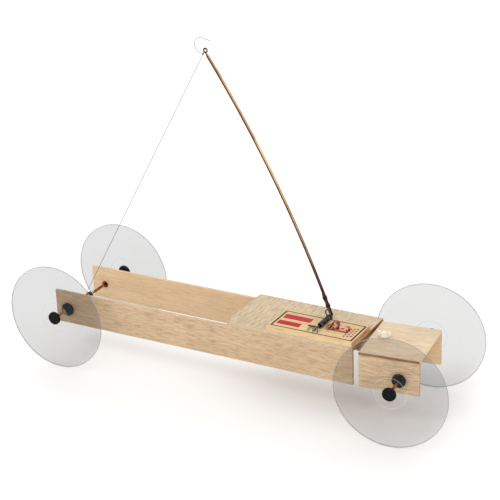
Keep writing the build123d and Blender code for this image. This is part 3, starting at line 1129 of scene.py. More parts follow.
@dataclass(frozen=True)
class Layout:
    """Frames of the car's assemblies, each with X forward, Y left and Z up."""

    chassis: Matrix
    rear_axle: Matrix
    front_axle: Matrix
    pivot: Matrix
    trap: Matrix
    hammer: Matrix
    pedal: Matrix
    steer: float

    @classmethod
    def read(cls, joints: Sequence[dict]) -> "Layout":
        """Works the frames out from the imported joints.

        Args:
            joints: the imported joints.

        Returns:
            The layout.
        """
        at = {joint["name"]: Vector(joint["pos_m"]) for joint in joints}
        across = Vector(next(j for j in joints if j["name"] == "front_axle_spin")["axis"])
        ahead = across.cross(UP)
        rear = at["rear_axle_spin"]
        low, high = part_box("trap_base")
        trap = (Vector(low) + Vector(high)) / 2
        trap.z = high[2]
        return cls(
            chassis=place_at(Vector((rear.x, rear.y, 0)), FORWARD, LEFT),
            rear_axle=place_at(rear, FORWARD, LEFT),
            front_axle=place_at(at["front_axle_spin"], ahead, across),
            pivot=place_at(Vector((*at["steering"].xy, 0)), ahead, across),
            trap=place_at(trap, FORWARD, LEFT),
            hammer=place_at(at["lever_swing"], FORWARD, LEFT),
            pedal=place_at(at["pedal_tilt"], FORWARD, LEFT),
            steer=math.atan2(ahead.y, ahead.x),
        )


# ---------------------------------------------------------------- wooden boards

# Lit and shaded copies of one balsa: the left walls' paler tone is painted light, the right walls'
# darker tone painted shade.
RAIL_WOOD_LIT_AND_SHADED = {
    "left": Wood(
        "left_rail_balsa",
        (0.73, 0.54, 0.345),
        (0.69, 0.50, 0.31),
        (0.45, 0.29, 0.16),
        streak=0.34,
        fleck_show=0.3,
    ),
    "right": Wood(
        "right_rail_balsa",
        (0.595, 0.432, 0.282),
        (0.555, 0.395, 0.250),
        (0.30, 0.19, 0.11),
        centre=(0.31, 0.17, 0.05),
        streak=0.75,
        rings=90,
    ),
}
DECK_WOOD = Wood(
    "deck_balsa",
    (0.63, 0.505, 0.35),
    (0.585, 0.465, 0.31),
    (0.26, 0.17, 0.10),
    across=True,
    streak=0.85,
)
# The right side board's balsa is made paler by this factor: painted light that offsets the shade it
# sits in behind the near front disc.
SIDE_BOARD_PAINTED_LIGHT = 1.45
# The main deck's front and rear faces run along its grain; their darker, more orange finish is
# painted shade.
DECK_EDGE_SHADE = GrainyBoardEdge("main_deck_edge_shade", (0.50, 0.27, 0.13), (0.24, 0.09, 0.04))
WALL_END = GrainyBoardEdge("wall_end_grain", (0.66, 0.44, 0.26), (0.44, 0.25, 0.13))
# The front deck's darker edge finish: end grain on its rear end, painted shade on its right edge,
# which runs along the grain.
CARRIAGE_END_AND_EDGE_SHADE = GrainyBoardEdge("front_deck_end_and_edge_shade", (0.52, 0.28, 0.14), (0.30, 0.13, 0.06))
TRAP_END = GrainyBoardEdge("trap_base_end_grain", (0.66, 0.40, 0.17), (0.42, 0.19, 0.07))
# The front deck's balsa is paler than the main deck's: painted light that offsets the shade over
# the front of the car.
CARRIAGE_WOOD_PAINTED_LIGHT = Wood(
    "front_deck_balsa", (0.76, 0.60, 0.43), (0.70, 0.54, 0.37), (0.42, 0.29, 0.18), rings=80
)


@dataclass(frozen=True)
class Boards:
    """The balsa boards of the chassis and of the front carriage."""

    eyelet_hole: float = 2.45 * MM
    bolt_hole: float = 2.08 * MM
    deck_corner: float = 2.5 * MM

    def build(self, shop: Workshop, layout: Layout) -> None:
        """Makes every board.

        Args:
            shop: where pieces are finished.
            layout: the car's frames.
        """
        self.walls(shop, layout.chassis, layout.rear_axle, "rail", Body.CHASSIS, 0.0)
        self.walls(
            shop, layout.pivot, layout.front_axle, "side_board", Body.CARRIAGE, layout.steer
        )
        low, high = shop.local_box("main_deck", layout.chassis)
        deck = board(low, high, layout.chassis, rounded=(0, 3), corner=self.deck_corner)
        # The deck's front and rear faces take the darker finish, which is painted shade.
        mark_ends(deck, [FORWARD, -FORWARD])
        finishes = [DECK_WOOD, DECK_EDGE_SHADE]
        shop.piece("main_deck_board", deck, Body.CHASSIS, Slot.BALSA, ["main_deck"], finishes)
        low, high = shop.local_box("front_deck", layout.pivot)
        front = board(low, high, layout.pivot, holes=[(0, 0, self.bolt_hole)])
        turn = layout.pivot.to_3x3()
        # Its rear end and its right edge take the darker finish; on the right edge that darkness is
        # painted shade.
        mark_ends(front, [turn @ -FORWARD, turn @ -LEFT])
        finishes = [replace(CARRIAGE_WOOD_PAINTED_LIGHT, turn=layout.steer), CARRIAGE_END_AND_EDGE_SHADE]
        shop.piece("front_deck_board", front, Body.CARRIAGE, Slot.BALSA, ["front_deck"], finishes)
        middle = layout.chassis.inverted() @ layout.pivot.translation
        low, high = shop.local_box("pivot_tongue", layout.chassis)
        tongue = board(low, high, layout.chassis, holes=[(middle.x, middle.y, self.bolt_hole)])
        shop.piece(
            "pivot_tongue_board", tongue, Body.CHASSIS, Slot.PLYWOOD, ["pivot_tongue"]
        )

    def walls(
        self, shop: Workshop, place: Matrix, axle: Matrix, kind: str, body: Body, turn: float
    ) -> None:
        """Makes the left and right wall of one assembly, each with its axle hole.

        Args:
            shop: where pieces are finished.
            place: the assembly's frame.
            axle: the axle's frame.
            kind: the walls' name in the frame.
            body: the body that they ride on.
            turn: how far the assembly is turned about the vertical, in radians.
        """
        plane = upright(place)
        hole = plane.inverted() @ axle.translation
        for hand, wood in RAIL_WOOD_LIT_AND_SHADED.items():
            node = f"{hand}_{kind}"
            low, high = shop.local_box(node, plane)
            wall = board(low, high, plane, holes=[(hole.x, hole.y, self.eyelet_hole)])
            ahead = plane.to_3x3() @ FORWARD
            mark_ends(wall, [ahead, -ahead])
            # Painted light: the right side board gets a paler copy of the right rail's balsa.
            painted_light_gain = SIDE_BOARD_PAINTED_LIGHT if hand == "right" and body is Body.CARRIAGE else 1.0
            pale, dark = (tuple(part * painted_light_gain for part in tone) for tone in (wood.pale, wood.dark))
            finish = replace(wood, name=f"{node}_balsa", turn=turn, pale=pale, dark=dark)
            shop.piece(f"{node}_wall", wall, body, Slot.BALSA, [node], [finish, WALL_END])


# ---------------------------------------------------------------- axles and wheels


@dataclass(frozen=True)
class WheelSet:
    """One axle with its eyelets, rubber spacers, clear discs and rubber hubs."""

    name: str
    body: Body
    wall_body: Body
    film: float
    ring_height: float = 0.4 * MM
    ring_radius: float = 17.0 * MM
    disc_radius: float = 60.0 * MM
    rim_band: float = 0.6 * MM
    bore: float = 5.0 * MM
    axle_radius: float = 1.6 * MM
    rubber_radius: float = 7.25 * MM
    rubber_round: float = 0.75 * MM
    rubber_edge: float = 0.22 * MM
    rubber_steps: int = 56
    eyelet_bore: float = 1.65 * MM
    eyelet_radius: float = 2.45 * MM
    flange_radius: float = 3.9 * MM
    flange: float = 0.6 * MM
    lip: float = 0.15 * MM
    sheet: float = 3.2 * MM
    blackened: float = 0.6 * MM
    spacer_length: float = 4.0 * MM
    disc_steps: int = 168

    RIM: ClassVar[Finish] = ClearPlastic("disc_rim", (0.26, 0.26, 0.25), 0.60)
    # The stacking ring's plastic is paler and less clear than the face's: a painted highlight where
    # the ring catches the light.
    RING_HIGHLIGHT: ClassVar[Finish] = ClearPlastic("disc_ring", (0.42, 0.42, 0.41), 0.30)
    EYELET: ClassVar[Finish] = Metal(
        "eyelet_copper", (0.30, 0.11, 0.05), (0.09, 0.03, 0.015), 0.30
    )
    AXLE_END: ClassVar[Finish] = Metal(
        "blackened_axle_end", (0.020, 0.019, 0.018), (0.008, 0.008, 0.008), 0.45
    )

    @property
    def face(self) -> ClearPlastic:
        """The clear plastic of the set's discs."""
        return ClearPlastic(f"{self.name}_clear_disc", (0.030, 0.031, 0.030), self.film)

    def build(self, shop: Workshop, place: Matrix) -> None:
        """Makes the whole set.

        Args:
            shop: where pieces are finished.
            place: the axle's frame.
        """
        low, high = shop.local_box(f"{self.name}_axle", place)
        rod = [(0, low.y), (self.axle_radius, low.y), (self.axle_radius, high.y), (0, high.y)]
        axle = lathe(rod, place, steps=32, rounding=0.35 * MM)
        inward = place.inverted()
        for face in axle.faces:
            along = (inward @ face.calc_center_median()).y
            inside = low.y + self.blackened <= along <= high.y - self.blackened
            face.material_index = int(not inside)
        finishes = [Slot.BRASS, self.AXLE_END]
        node = f"{self.name}_axle"
        shop.piece(f"{node}_rod", axle, self.body, Slot.BRASS, [node], finishes)
        self.eyelets(shop, place)
        spacers_low, spacers_high = shop.local_box(f"{self.name}_spacers", place)
        hubs_low, hubs_high = shop.local_box(f"{self.name}_hubs", place)
        rubber = {"hubs": [], "spacers": []}
        for side, hand in ((1, "left"), (-1, "right")):
            inner, outer = self.disc(shop, place, side, hand)
            end, far = (hubs_high, spacers_high) if side > 0 else (hubs_low, spacers_low)
            rubber["hubs"].append(self.hub(inner, outer, end.y, side))
            rubber["spacers"].append(self.spacer(far.y, side))
        for kind, outlines in rubber.items():
            steps, edge = self.rubber_steps, self.rubber_edge
            shape = joined([lathe(outline, place, steps, edge) for outline in outlines])
            node, name = f"{self.name}_{kind}", f"{self.name}_rubber_{kind}"
            shop.piece(name, shape, self.body, Slot.BLACK_RUBBER, [node])

    def eyelets(self, shop: Workshop, place: Matrix) -> None:
        """Makes the two flanged brass eyelets in the walls.

        Args:
            shop: where pieces are finished.
            place: the axle's frame.
        """
        node = f"{self.name}_axle_eyelets"
        low, high = shop.local_box(node, place)
        shapes = []
        for outer, side in ((high.y, 1), (low.y, -1)):
            inner = outer - side * self.sheet
            outline = [
                (self.eyelet_bore, inner - side * self.flange),
                (self.flange_radius, inner - side * self.flange),
                (self.flange_radius, inner),
                (self.eyelet_radius, inner),
                (self.eyelet_radius, outer + side * self.lip),
                (self.eyelet_bore, outer + side * self.lip),
            ]
            shapes.append(lathe(outline, place, steps=40, rounding=0.14 * MM))
        name = f"{self.name}_brass_eyelets"
        shop.piece(name, joined(shapes), self.wall_body, Slot.BRASS, [node], [self.EYELET])

    def disc(self, shop: Workshop, place: Matrix, side: int, hand: str) -> tuple[float, float]:
        """Makes one clear disc with its stacking ring and moat.

        Args:
            shop: where pieces are finished.
            place: the axle's frame.
            side: 1 on the left and -1 on the right.
            hand: the side's name.

        Returns:
            The places of its inner and outer face along the axle.
        """
        node = f"{self.name}_wheel_{hand}"
        low, high = shop.local_box(node, place)
        inner, tip = (low.y, high.y) if side > 0 else (high.y, low.y)
        outer = tip - side * self.ring_height
        moat = outer - side * 0.15 * MM
        ring = self.ring_radius
        outline = [
            (self.bore, inner),
            (self.disc_radius - self.rim_band, inner),
            (self.disc_radius, inner),
            (self.disc_radius, outer),
            (self.disc_radius - self.rim_band, outer),
            (ring + 2.4 * MM, outer),
            (ring + 2.2 * MM, moat),
            (ring + 1.7 * MM, moat),
            (ring + 1.5 * MM, outer),
            (ring + 0.5 * MM, outer),
            (ring + 0.4 * MM, tip),
            (ring - 0.4 * MM, tip),
            (ring - 0.5 * MM, outer),
            (self.bore, outer),
        ]
        shape = lathe(outline, place, self.disc_steps, rounding=0.09 * MM)
        inward = place.inverted()
        # Rim faces take the rim plastic; the stacking ring's faces take its painted highlight.
        for face in shape.faces:
            spot = inward @ face.calc_center_median()
            out = math.hypot(spot.x, spot.z)
            on_ring = abs(out - ring) < 0.55 * MM and side * (spot.y - outer) > 0.05 * MM
            face.material_index = 1 if out > self.disc_radius - self.rim_band else 2 * on_ring
        finishes = [self.face, self.RIM, self.RING_HIGHLIGHT]
        name = f"{self.name}_disc_{hand}"
        shop.clear_piece(name, shape, self.body, Slot.CLEAR_PLASTIC, [node], finishes)
        return inner, outer

    def hub(self, inner: float, outer: float, end: float, side: int) -> list[tuple[float, float]]:
        """The outline of a rubber hub: a sleeve in the disc's bore and a head outside it.

        Args:
            inner: the disc's inner face, along the axle.
            outer: the disc's outer face.
            end: the hub's outer end.
            side: 1 on the left and -1 on the right.

        Returns:
            The outline, out from the axis and along it.
        """
        soft = self.rubber_round
        groove = end - side * 0.45 * MM
        return [
            (self.axle_radius, inner),
            (self.bore, inner),
            (self.bore, outer),
            (self.rubber_radius - soft, outer),
            (self.rubber_radius, outer + side * soft),
            (self.rubber_radius, end - side * soft),
            (self.rubber_radius - soft, end),
            (4.6 * MM, end),
            (4.2 * MM, groove),
            (3.2 * MM, groove),
            (2.8 * MM, end),
            (self.axle_radius, end),
        ]

    def spacer(self, far: float, side: int) -> list[tuple[float, float]]:
        """The outline of a rubber spacer.

        Args:
            far: the spacer's outer end.
            side: 1 on the left and -1 on the right.

        Returns:
            The outline, out from the axis and along it.
        """
        near = far - side * self.spacer_length
        soft = self.rubber_round
        return [
            (self.axle_radius, near),
            (self.rubber_radius - soft, near),
            (self.rubber_radius, near + side * soft),
            (self.rubber_radius, far - side * soft),
            (self.rubber_radius - soft, far),
            (3.4 * MM, far),
            (3.0 * MM, far - side * 0.4 * MM),
            (2.4 * MM, far - side * 0.4 * MM),
            (2.1 * MM, far),
            (self.axle_radius, far),
        ]


# ---------------------------------------------------------------- pivot bolt and wing nut


@dataclass(frozen=True)
class Pivot:
    """The carriage's bolt and its moulded wing nut; the wing's outline is in millimetres."""

    bolt_radius: float = 2.0 * MM
    root_radius: float = 1.66 * MM
    head_radius: float = 4.0 * MM
    head_height: float = 2.6 * MM
    head_edge: float = 0.8 * MM
    thread_pitch: float = 0.7 * MM
    threads: int = 9
    nut_gap: float = 0.08 * MM
    nut_foot: float = 4.2 * MM
    nut_neck: float = 3.5 * MM
    nut_height: float = 4.2 * MM
    wing_thickness: float = 2.6 * MM
    voxel: float = 0.2 * MM
    wing: Outline = ((0, 0.4), (5.4, 0.4), (7.5, 4.0), (6.3, 6.6), (3.9, 5.9), (0, 3.4))

    def build(self, shop: Workshop, layout: Layout) -> None:
        """Makes the bolt and the nut.

        Args:
            shop: where pieces are finished.
            layout: the car's frames.
        """
        upward = place_at(layout.pivot.translation, FORWARD, UP)
        low, high = shop.local_box("pivot_bolt", layout.pivot)
        shoulder = low.z + self.head_height
        outline = [
            (0, low.z),
            (self.head_radius - self.head_edge, low.z),
            (self.head_radius, low.z + self.head_edge),
            (self.head_radius, shoulder),
            (self.bolt_radius, shoulder),
        ]
        start = high.z - self.threads * self.thread_pitch
        for index in range(self.threads):
            crest = start + index * self.thread_pitch
            outline.append((self.bolt_radius, crest))
            outline.append((self.root_radius, crest + self.thread_pitch / 2))
        outline += [(self.root_radius, high.z), (0, high.z)]
        bolt = lathe(outline, upward, steps=40)
        shop.piece("threaded_bolt", bolt, Body.CHASSIS, Slot.NYLON, ["pivot_bolt"])
        self.nut(shop, layout)

    def nut(self, shop: Workshop, layout: Layout) -> None:
        """Moulds the wing nut in one piece.

        Args:
            shop: where pieces are finished.
            layout: the car's frames.
        """
        foot = shop.local_box("wing_nut", layout.pivot)[0].z
        bore = self.bolt_radius + self.nut_gap
        base = layout.pivot @ Matrix.Translation((0, 0, foot))
        top = self.nut_height
        ring = [(bore, 0), (self.nut_foot, 0), (self.nut_neck, top), (bore, top)]
        shapes = [lathe(ring, place_at(base.translation, FORWARD, UP), steps=40)]
        half = self.wing_thickness / 2
        plane = upright(base)
        for side in (1, -1):
            outline = [(side * max(out * MM, bore), up * MM) for out, up in self.wing]
            shapes.append(cut_sheet(outline, -half, half, plane, edge=0.5 * MM))
        moulded = fused(joined(shapes), self.voxel, 5)
        shop.piece("moulded_wing_nut", moulded, Body.WING_NUT, Slot.NYLON, ["wing_nut"])


def fused(shape: Shape, voxel: float, smoothing: int) -> Shape:
    """Fuses overlapping shells into one smooth skin.

    Args:
        shape: the shells; they are freed.
        voxel: the size of the skin's facets.
        smoothing: how many times the skin is smoothed.

    Returns:
        The skin.
    """
    mesh = bpy.data.meshes.new("blank")
    bmesh.ops.recalc_face_normals(shape, faces=shape.faces[:])
    shape.to_mesh(mesh)
    shape.free()
    blank = bpy.data.objects.new("blank", mesh)
    bpy.context.scene.collection.objects.link(blank)
    remesh = blank.modifiers.new("fuse", "REMESH")
    remesh.mode = "VOXEL"
    remesh.voxel_size = voxel
    graph = bpy.context.evaluated_depsgraph_get()
    skin = bmesh.new()
    skin.from_object(blank, graph)
    bpy.data.objects.remove(blank)
    for _ in range(smoothing):
        bmesh.ops.smooth_vert(
            skin, verts=skin.verts[:], factor=0.5, use_axis_x=True, use_axis_y=True, use_axis_z=True
        )
    return skin


# ---------------------------------------------------------------- the trap

RED_INK = (0.42, 0.004, 0.012)
BLACK_INK = (0.012, 0.010, 0.010)
RUST_INK = (0.28, 0.02, 0.015)


def border(
    rear: float, front: float, right: float, left: float, thick: float, thin: float
) -> list[Mark]:
    """The printed border.

    Args:
        rear: the border's rear edge.
        front: its front edge.
        right: its right edge.
        left: its left edge.
        thick: the width of the lines at the rear and front.
        thin: the width of the lines at the sides.

    Returns:
        The four lines.
    """
    return [
        Mark((rear, rear + thick), (right, left), BLACK_INK, 0.0),
        Mark((front - thick, front), (right, left), BLACK_INK, 0.0),
        Mark((rear, front), (right, right + thin), BLACK_INK, 0.0),
        Mark((rear, front), (left - thin, left), BLACK_INK, 0.0),
    ]


def dashes(
    forward: float, lefts: Sequence[float], length: float, width: float, ink: Colour
) -> list[Mark]:
    """A printed row of short dashes, one at each left place."""
    return [Mark((forward, forward + length), (left, left + width), ink, 0.2) for left in lefts]


@dataclass(frozen=True)
class Trap:
    """The snap trap: its printed base, staples, torsion spring, hammer and bait pedal."""

    lean: float = math.radians(22)
    staple_wire: float = 0.5 * MM
    staple_bend: float = 1.2 * MM
    spring_wire: float = 0.7 * MM
    wire_edge: float = 0.2 * MM
    coil_turns: int = 13
    coil_facets: int = 20
    hook_bend: float = 1.2 * MM
    hammer_wire: float = 0.9 * MM
    hammer_bend: float = 1.5 * MM
    hammer_edge: float = 0.25 * MM
    pedal_sheet: float = 0.6 * MM
    pedal_corner: float = 1.5 * MM
    pedal_edge: float = 0.12 * MM
    strip_edge: float = 0.1 * MM
    eye_ahead: float = 7.5 * MM
    eye_hole: float = 1.3 * MM
    knuckle: float = 1.25 * MM
    pin_bore: float = 0.55 * MM
    curl_radius: float = 3.5 * MM
    curl_ahead: float = 5.6 * MM
    curl_width: float = 6.0 * MM
    curl_turn: float = math.radians(300)
    lip_radius: float = 2.1 * MM
    lip_width: float = 3.0 * MM
    lip_side: float = 1.5 * MM
    lip_thinned: float = 0.8
    lip_turn: float = math.radians(255)

    def build(self, shop: Workshop, layout: Layout) -> None:
        """Makes the trap's pieces.

        Args:
            shop: where pieces are finished.
            layout: the car's frames.
        """
        self.base(shop, layout)
        self.staples(shop, layout)
        self.coil(shop, layout)
        leaned = self.leaned(layout)
        self.moving_leg(shop, leaned)
        self.hammer(shop, leaned)
        self.pedal(shop, layout)

    def leaned(self, layout: Layout) -> Matrix:
        """The frame of the hammer and lever, which lean back from upright."""
        return layout.hammer @ Matrix.Rotation(-self.lean, 4, "Y")

    def base(self, shop: Workshop, layout: Layout) -> None:
        """Makes the printed wooden base.

        Args:
            shop: where pieces are finished.
            layout: the car's frames.
        """
        low, high = shop.local_box("trap_base", layout.trap)
        marks = border(-46 * MM, 47.4 * MM, -19.1 * MM, 18.5 * MM, 2.1 * MM, 1.5 * MM)
        marks += [
            Mark((-42 * MM, -10 * MM), (1.5 * MM, 11.5 * MM), RED_INK, 0.1),
            Mark((-42 * MM, -16 * MM), (-13 * MM, -4 * MM), RED_INK, 0.1),
        ]
        lefts = [place * MM for place in (-15, -12, -9, -6)]
        marks += dashes(-6.5 * MM, lefts, 4.5 * MM, 1.5 * MM, BLACK_INK)
        for row in range(3):
            forward = (34.0 + 3.6 * row) * MM
            lefts = [(place + row) * MM for place in (-13, -8.5, -4, 0.5, 5)]
            marks += dashes(forward, lefts, 2.2 * MM, 2.6 * MM, RUST_INK)
        wood = PrintedWood(
            "printed_trap_wood",
            (0.72, 0.53, 0.30),
            (0.65, 0.45, 0.23),
            (0.42, 0.26, 0.12),
            centre=tuple(layout.trap.translation),
            marks=tuple(marks),
            rings=120,
        )
        shape = board(low, high, layout.trap, rounded=(0, 1, 2, 3), corner=0.6 * MM)
        mark_ends(shape, [FORWARD, -FORWARD])
        finishes = [wood, TRAP_END]
        shop.piece(
            "printed_trap_base", shape, Body.CHASSIS, Slot.TRAP_WOOD, ["trap_base"], finishes
        )

    def staple(self, foot: Vector, across: Vector, span: float, rise: float) -> Shape:
        """One driven staple.

        Args:
            foot: the buried end of its first leg.
            across: the direction of its bridge.
            span: the distance between its legs.
            rise: the height of its bridge over the foot.

        Returns:
            The staple's mesh.
        """
        turn = UP.cross(across)
        bend = self.staple_bend
        wire = Drawn(foot, UP, self.staple_wire, sides=10, across=across.cross(UP))
        wire.straight(rise - bend).bend(QUARTER_TURN, turn, bend).straight(span - 2 * bend)
        wire.bend(QUARTER_TURN, turn, bend).straight(rise - bend)
        return wire.cut()

    def staples(self, shop: Workshop, layout: Layout) -> None:
        """Makes the spring's two staples and the pedal's staple.

        Args:
            shop: where pieces are finished.
            layout: the car's frames.
        """
        wire = self.staple_wire
        low, high = shop.local_box("spring_staples", layout.trap)
        span, rise = high.x - low.x - 2 * wire, high.z - low.z - wire
        feet = [Vector((low.x + wire, left, low.z)) for left in (low.y + wire, high.y - wire)]
        pair = joined([self.staple(layout.trap @ foot, FORWARD, span, rise) for foot in feet])
        shop.piece("driven_staples", pair, Body.CHASSIS, Slot.BRIGHT_STEEL, ["spring_staples"])
        low, high = shop.local_box("pedal_staple", layout.trap)
        foot = layout.trap @ Vector(((low.x + high.x) / 2, low.y + wire, low.z))
        pin = self.staple(foot, LEFT, high.y - low.y - 2 * wire, high.z - low.z - wire)
        shop.piece("pedal_pin_staple", pin, Body.CHASSIS, Slot.BRIGHT_STEEL, ["pedal_staple"])

    def coil(self, shop: Workshop, layout: Layout) -> None:
        """Winds the torsion spring, from the tip of its fixed leg.

        Args:
            shop: where pieces are finished.
            layout: the car's frames.
        """
        low, high = shop.local_box("spring_coil", layout.hammer)
        radius = -low.z - self.spring_wire
        right = low.y + self.spring_wire
        rise = high.y - low.y - 2 * self.spring_wire
        tip = layout.hammer @ Vector((low.x, right, -radius))
        wire = Drawn(tip, FORWARD, self.spring_wire, sides=10)
        wire.straight(-low.x)
        turns = self.coil_turns
        wire.bend(FULL_TURN * turns, -LEFT, radius, LEFT * rise, turns * self.coil_facets)
        shape = wire.cut(self.wire_edge)
        shop.piece("wound_spring", shape, Body.CHASSIS, Slot.DARK_STEEL, ["spring_coil"])

    def moving_leg(self, shop: Workshop, leaned: Matrix) -> None:
        """Bends the spring's moving leg, which hooks behind the hammer's leg.

        Args:
            shop: where pieces are finished.
            leaned: the frame that the hammer and rod lean in.
        """
        low, high = shop.local_box("spring_moving_leg", leaned)
        ahead = leaned.to_3x3() @ FORWARD
        radius = -low.x - self.spring_wire
        left = low.y + self.spring_wire
        top = high.z - self.spring_wire
        wire = Drawn(leaned @ Vector((0, left, radius)), ahead, self.spring_wire, sides=10)
        wire.bend(3 * QUARTER_TURN, LEFT, radius)
        wire.straight(top - self.hook_bend)
        wire.bend(QUARTER_TURN, -ahead, self.hook_bend)
        wire.straight(high.y - left - self.hook_bend)
        shape = wire.cut(self.wire_edge)
        shop.piece("spring_hook_leg", shape, Body.LEVER, Slot.DARK_STEEL, ["spring_moving_leg"])

    def hammer(self, shop: Workshop, leaned: Matrix) -> None:
        """Bends the hammer's bar and its remaining leg.

        Args:
            shop: where pieces are finished.
            leaned: the frame that the hammer and rod lean in.
        """
        low, high = shop.local_box("hammer_bar", leaned)
        ahead = leaned.to_3x3() @ FORWARD
        end = leaned @ Vector((0, low.y, 0))
        wire = Drawn(end, LEFT, self.hammer_wire, sides=14, across=ahead)
        wire.straight(high.y - low.y - self.hammer_wire - self.hammer_bend)
        wire.bend(QUARTER_TURN, ahead, self.hammer_bend)
        wire.straight(high.z - self.hammer_bend)
        shape = wire.cut(self.hammer_edge)
        shop.piece("bent_hammer", shape, Body.LEVER, Slot.DARK_STEEL, ["hammer_bar"])

    def pedal(self, shop: Workshop, layout: Layout) -> None:
        """Stamps the bait pedal: a plate rolled round its pin, with a curled bait holder.

        Args:
            shop: where pieces are finished.
            layout: the car's frames.
        """
        low, high = shop.local_box("bait_pedal", layout.pedal)
        plate = board(
            low,
            Vector((high.x, high.y, low.z + self.pedal_sheet)),
            layout.pedal,
            [(self.curl_ahead + self.eye_ahead, 0, self.eye_hole)],
            (0, 1, 2, 3),
            self.pedal_corner,
            self.pedal_edge,
        )
        roll = [(self.pin_bore, low.y), (self.knuckle, low.y)]
        roll += [(self.knuckle, high.y), (self.pin_bore, high.y)]
        middle = low.z + self.pedal_sheet / 2
        start = layout.pedal @ Vector((self.curl_ahead, 0, middle))
        curl = Drawn(start, FORWARD, 0, strip=(self.curl_width, self.pedal_sheet))
        curl.bend(self.curl_turn, -LEFT, self.curl_radius, steps=30)
        foot = layout.pedal @ Vector((high.x - self.lip_radius, self.lip_side, middle))
        lip = Drawn(foot, FORWARD, 0, strip=(self.lip_width, self.pedal_sheet * self.lip_thinned))
        lip.bend(self.lip_turn, -LEFT, self.lip_radius - self.pedal_sheet / 2, steps=20)
        cut = [strip.cut(self.strip_edge) for strip in (curl, lip)]
        shapes = [plate, lathe(roll, layout.pedal, steps=28, rounding=self.strip_edge), *cut]
        shop.piece("stamped_pedal", joined(shapes), Body.PEDAL, Slot.COPPER_PLATE, ["bait_pedal"])


# ---------------------------------------------------------------- the lever


# Darker towards its foot; a painted shade on its faces that look backward leaves a painted golden
# highlight on its forward faces.
LEVER_FINISH = Metal(
    "lever_brass",
    (0.80, 0.50, 0.22),
    (0.50, 0.24, 0.09),
    roughness=0.26,
    wear_scale=160.0,
    low_tone=(0.060, 0.014, 0.012),
    low_band=(0.12, 0.27),
    painted_back_shade=(0.045, 0.014, 0.010),
)


@dataclass(frozen=True)
class Lever:
    """The long rod lashed beside the hammer's leg, with an eye bent at its tip."""

    radius: float = 1.6 * MM
    straight: float = 26.0 * MM
    reach: float = 301.9 * MM
    sweep: float = 29.4 * MM
    heel: float = 1.0 * MM
    eye_radius: float = 2.1 * MM
    eye_wire: float = 0.9 * MM
    eye_kink: float = 1.1 * MM
    eye_turn: float = FULL_TURN * 0.95
    eye_rise: float = 0.4 * MM
    wire_edge: float = 0.2 * MM
    taper: float = 3.0 * MM
    lash_wire: float = 0.3 * MM
    lash_places: tuple[float, ...] = (9.0 * MM, 18.0 * MM)
    lash_height: float = 4.0 * MM
    lash_turns: int = 6

    def side(self, trap: Trap, shop: Workshop, leaned: Matrix) -> float:
        """The left place of the rod's centre line in the leaned frame."""
        return shop.local_box("hammer_bar", leaned)[1].y + self.radius

    def eye(self, leaned: Matrix, left: float) -> Vector:
        """The eye's centre."""
        return leaned @ Vector((-self.sweep, left, self.reach))

    def build(self, shop: Workshop, trap: Trap, leaned: Matrix) -> None:
        """Makes the rod and its lashings.

        Args:
            shop: where pieces are finished.
            trap: the trap, whose hammer the rod is lashed to.
            leaned: the frame that the hammer and rod lean in.
        """
        left = self.side(trap, shop, leaned)
        self.rod(shop, leaned, left)
        leg = left - self.radius - trap.hammer_wire
        wire = trap.hammer_wire
        pair = joined([self.lashing(leaned, leg, left, wire, place) for place in self.lash_places])
        shop.piece("wound_lashings", pair, Body.LEVER, Slot.LASHING_BRASS, ["lever_lashings"])

    def rod(self, shop: Workshop, leaned: Matrix, left: float) -> None:
        """Bends the rod and its eye.

        Args:
            shop: where pieces are finished.
            leaned: the frame that the hammer and rod lean in.
            left: the left place of the rod's centre line.
        """
        upward = leaned.to_3x3() @ UP
        swing = math.atan2(self.sweep, self.reach - self.straight)
        chord = math.hypot(self.sweep, self.reach - self.straight)
        bow = chord / (2 * math.sin(swing))
        short = self.taper + self.eye_radius + self.eye_kink
        arc = 2 * swing - short / bow
        wire = Drawn(leaned @ Vector((0, left, -self.heel)), upward, self.radius, sides=20)
        wire.straight(self.heel + self.straight, 4)
        wire.bend(arc, -LEFT, bow, steps=60)
        wire.straight(self.taper, 4, self.eye_wire / self.radius)
        wire.bend(QUARTER_TURN, LEFT, self.eye_kink)
        wire.bend(self.eye_turn, -LEFT, self.eye_radius, LEFT * self.eye_rise, 28)
        shape = wire.cut(self.wire_edge)
        shop.piece("lever_rod", shape, Body.LEVER, Slot.BRASS, ["lever_arm"], [LEVER_FINISH])

    def lashing(
        self, leaned: Matrix, leg: float, rod: float, leg_wire: float, place: float
    ) -> Shape:
        """Winds one wire lashing round the hammer's leg and the rod.

        Args:
            leaned: the frame that both lean in.
            leg: the left place of the hammer's leg.
            rod: the left place of the rod.
            leg_wire: the leg's radius.
            place: the lashing's foot, up along the rod.

        Returns:
            The lashing's mesh.
        """
        turn = leaned.to_3x3()
        ahead, upward = turn @ FORWARD, turn @ UP
        big, small = self.radius + self.lash_wire, leg_wire + self.lash_wire
        slant = math.asin((big - small) / (rod - leg))
        run = (rod - leg) * math.cos(slant)
        pitch = (self.lash_height - 2 * self.lash_wire) / self.lash_turns
        heading = LEFT * math.cos(slant) + ahead * math.sin(slant)
        out = ahead * math.cos(slant) - LEFT * math.sin(slant)
        start = leaned @ Vector((0, leg, place + self.lash_wire)) + out * small
        wire = Drawn(start, heading, self.lash_wire, sides=8, across=upward)
        lift = upward * (pitch / 4)
        for _ in range(self.lash_turns):
            self.climb(wire, run, lift)
            wire.bend(math.pi + 2 * slant, upward, big, lift, 12)
            self.climb(wire, run, lift)
            wire.bend(math.pi - 2 * slant, upward, small, lift, 9)
        return wire.cut()

    @staticmethod
    def climb(wire: Drawn, run: float, lift: Vector) -> None:
        """Draws a straight run that climbs a little and keeps its heading.

        Args:
            wire: the wire that is drawn.
            run: how far it goes along its heading.
            lift: how far it climbs.
        """
        level = wire.heading.copy()
        wire.heading = (level * run + lift).normalized()
        wire.straight((level * run + lift).length)
        wire.heading = level


# ---------------------------------------------------------------- the string


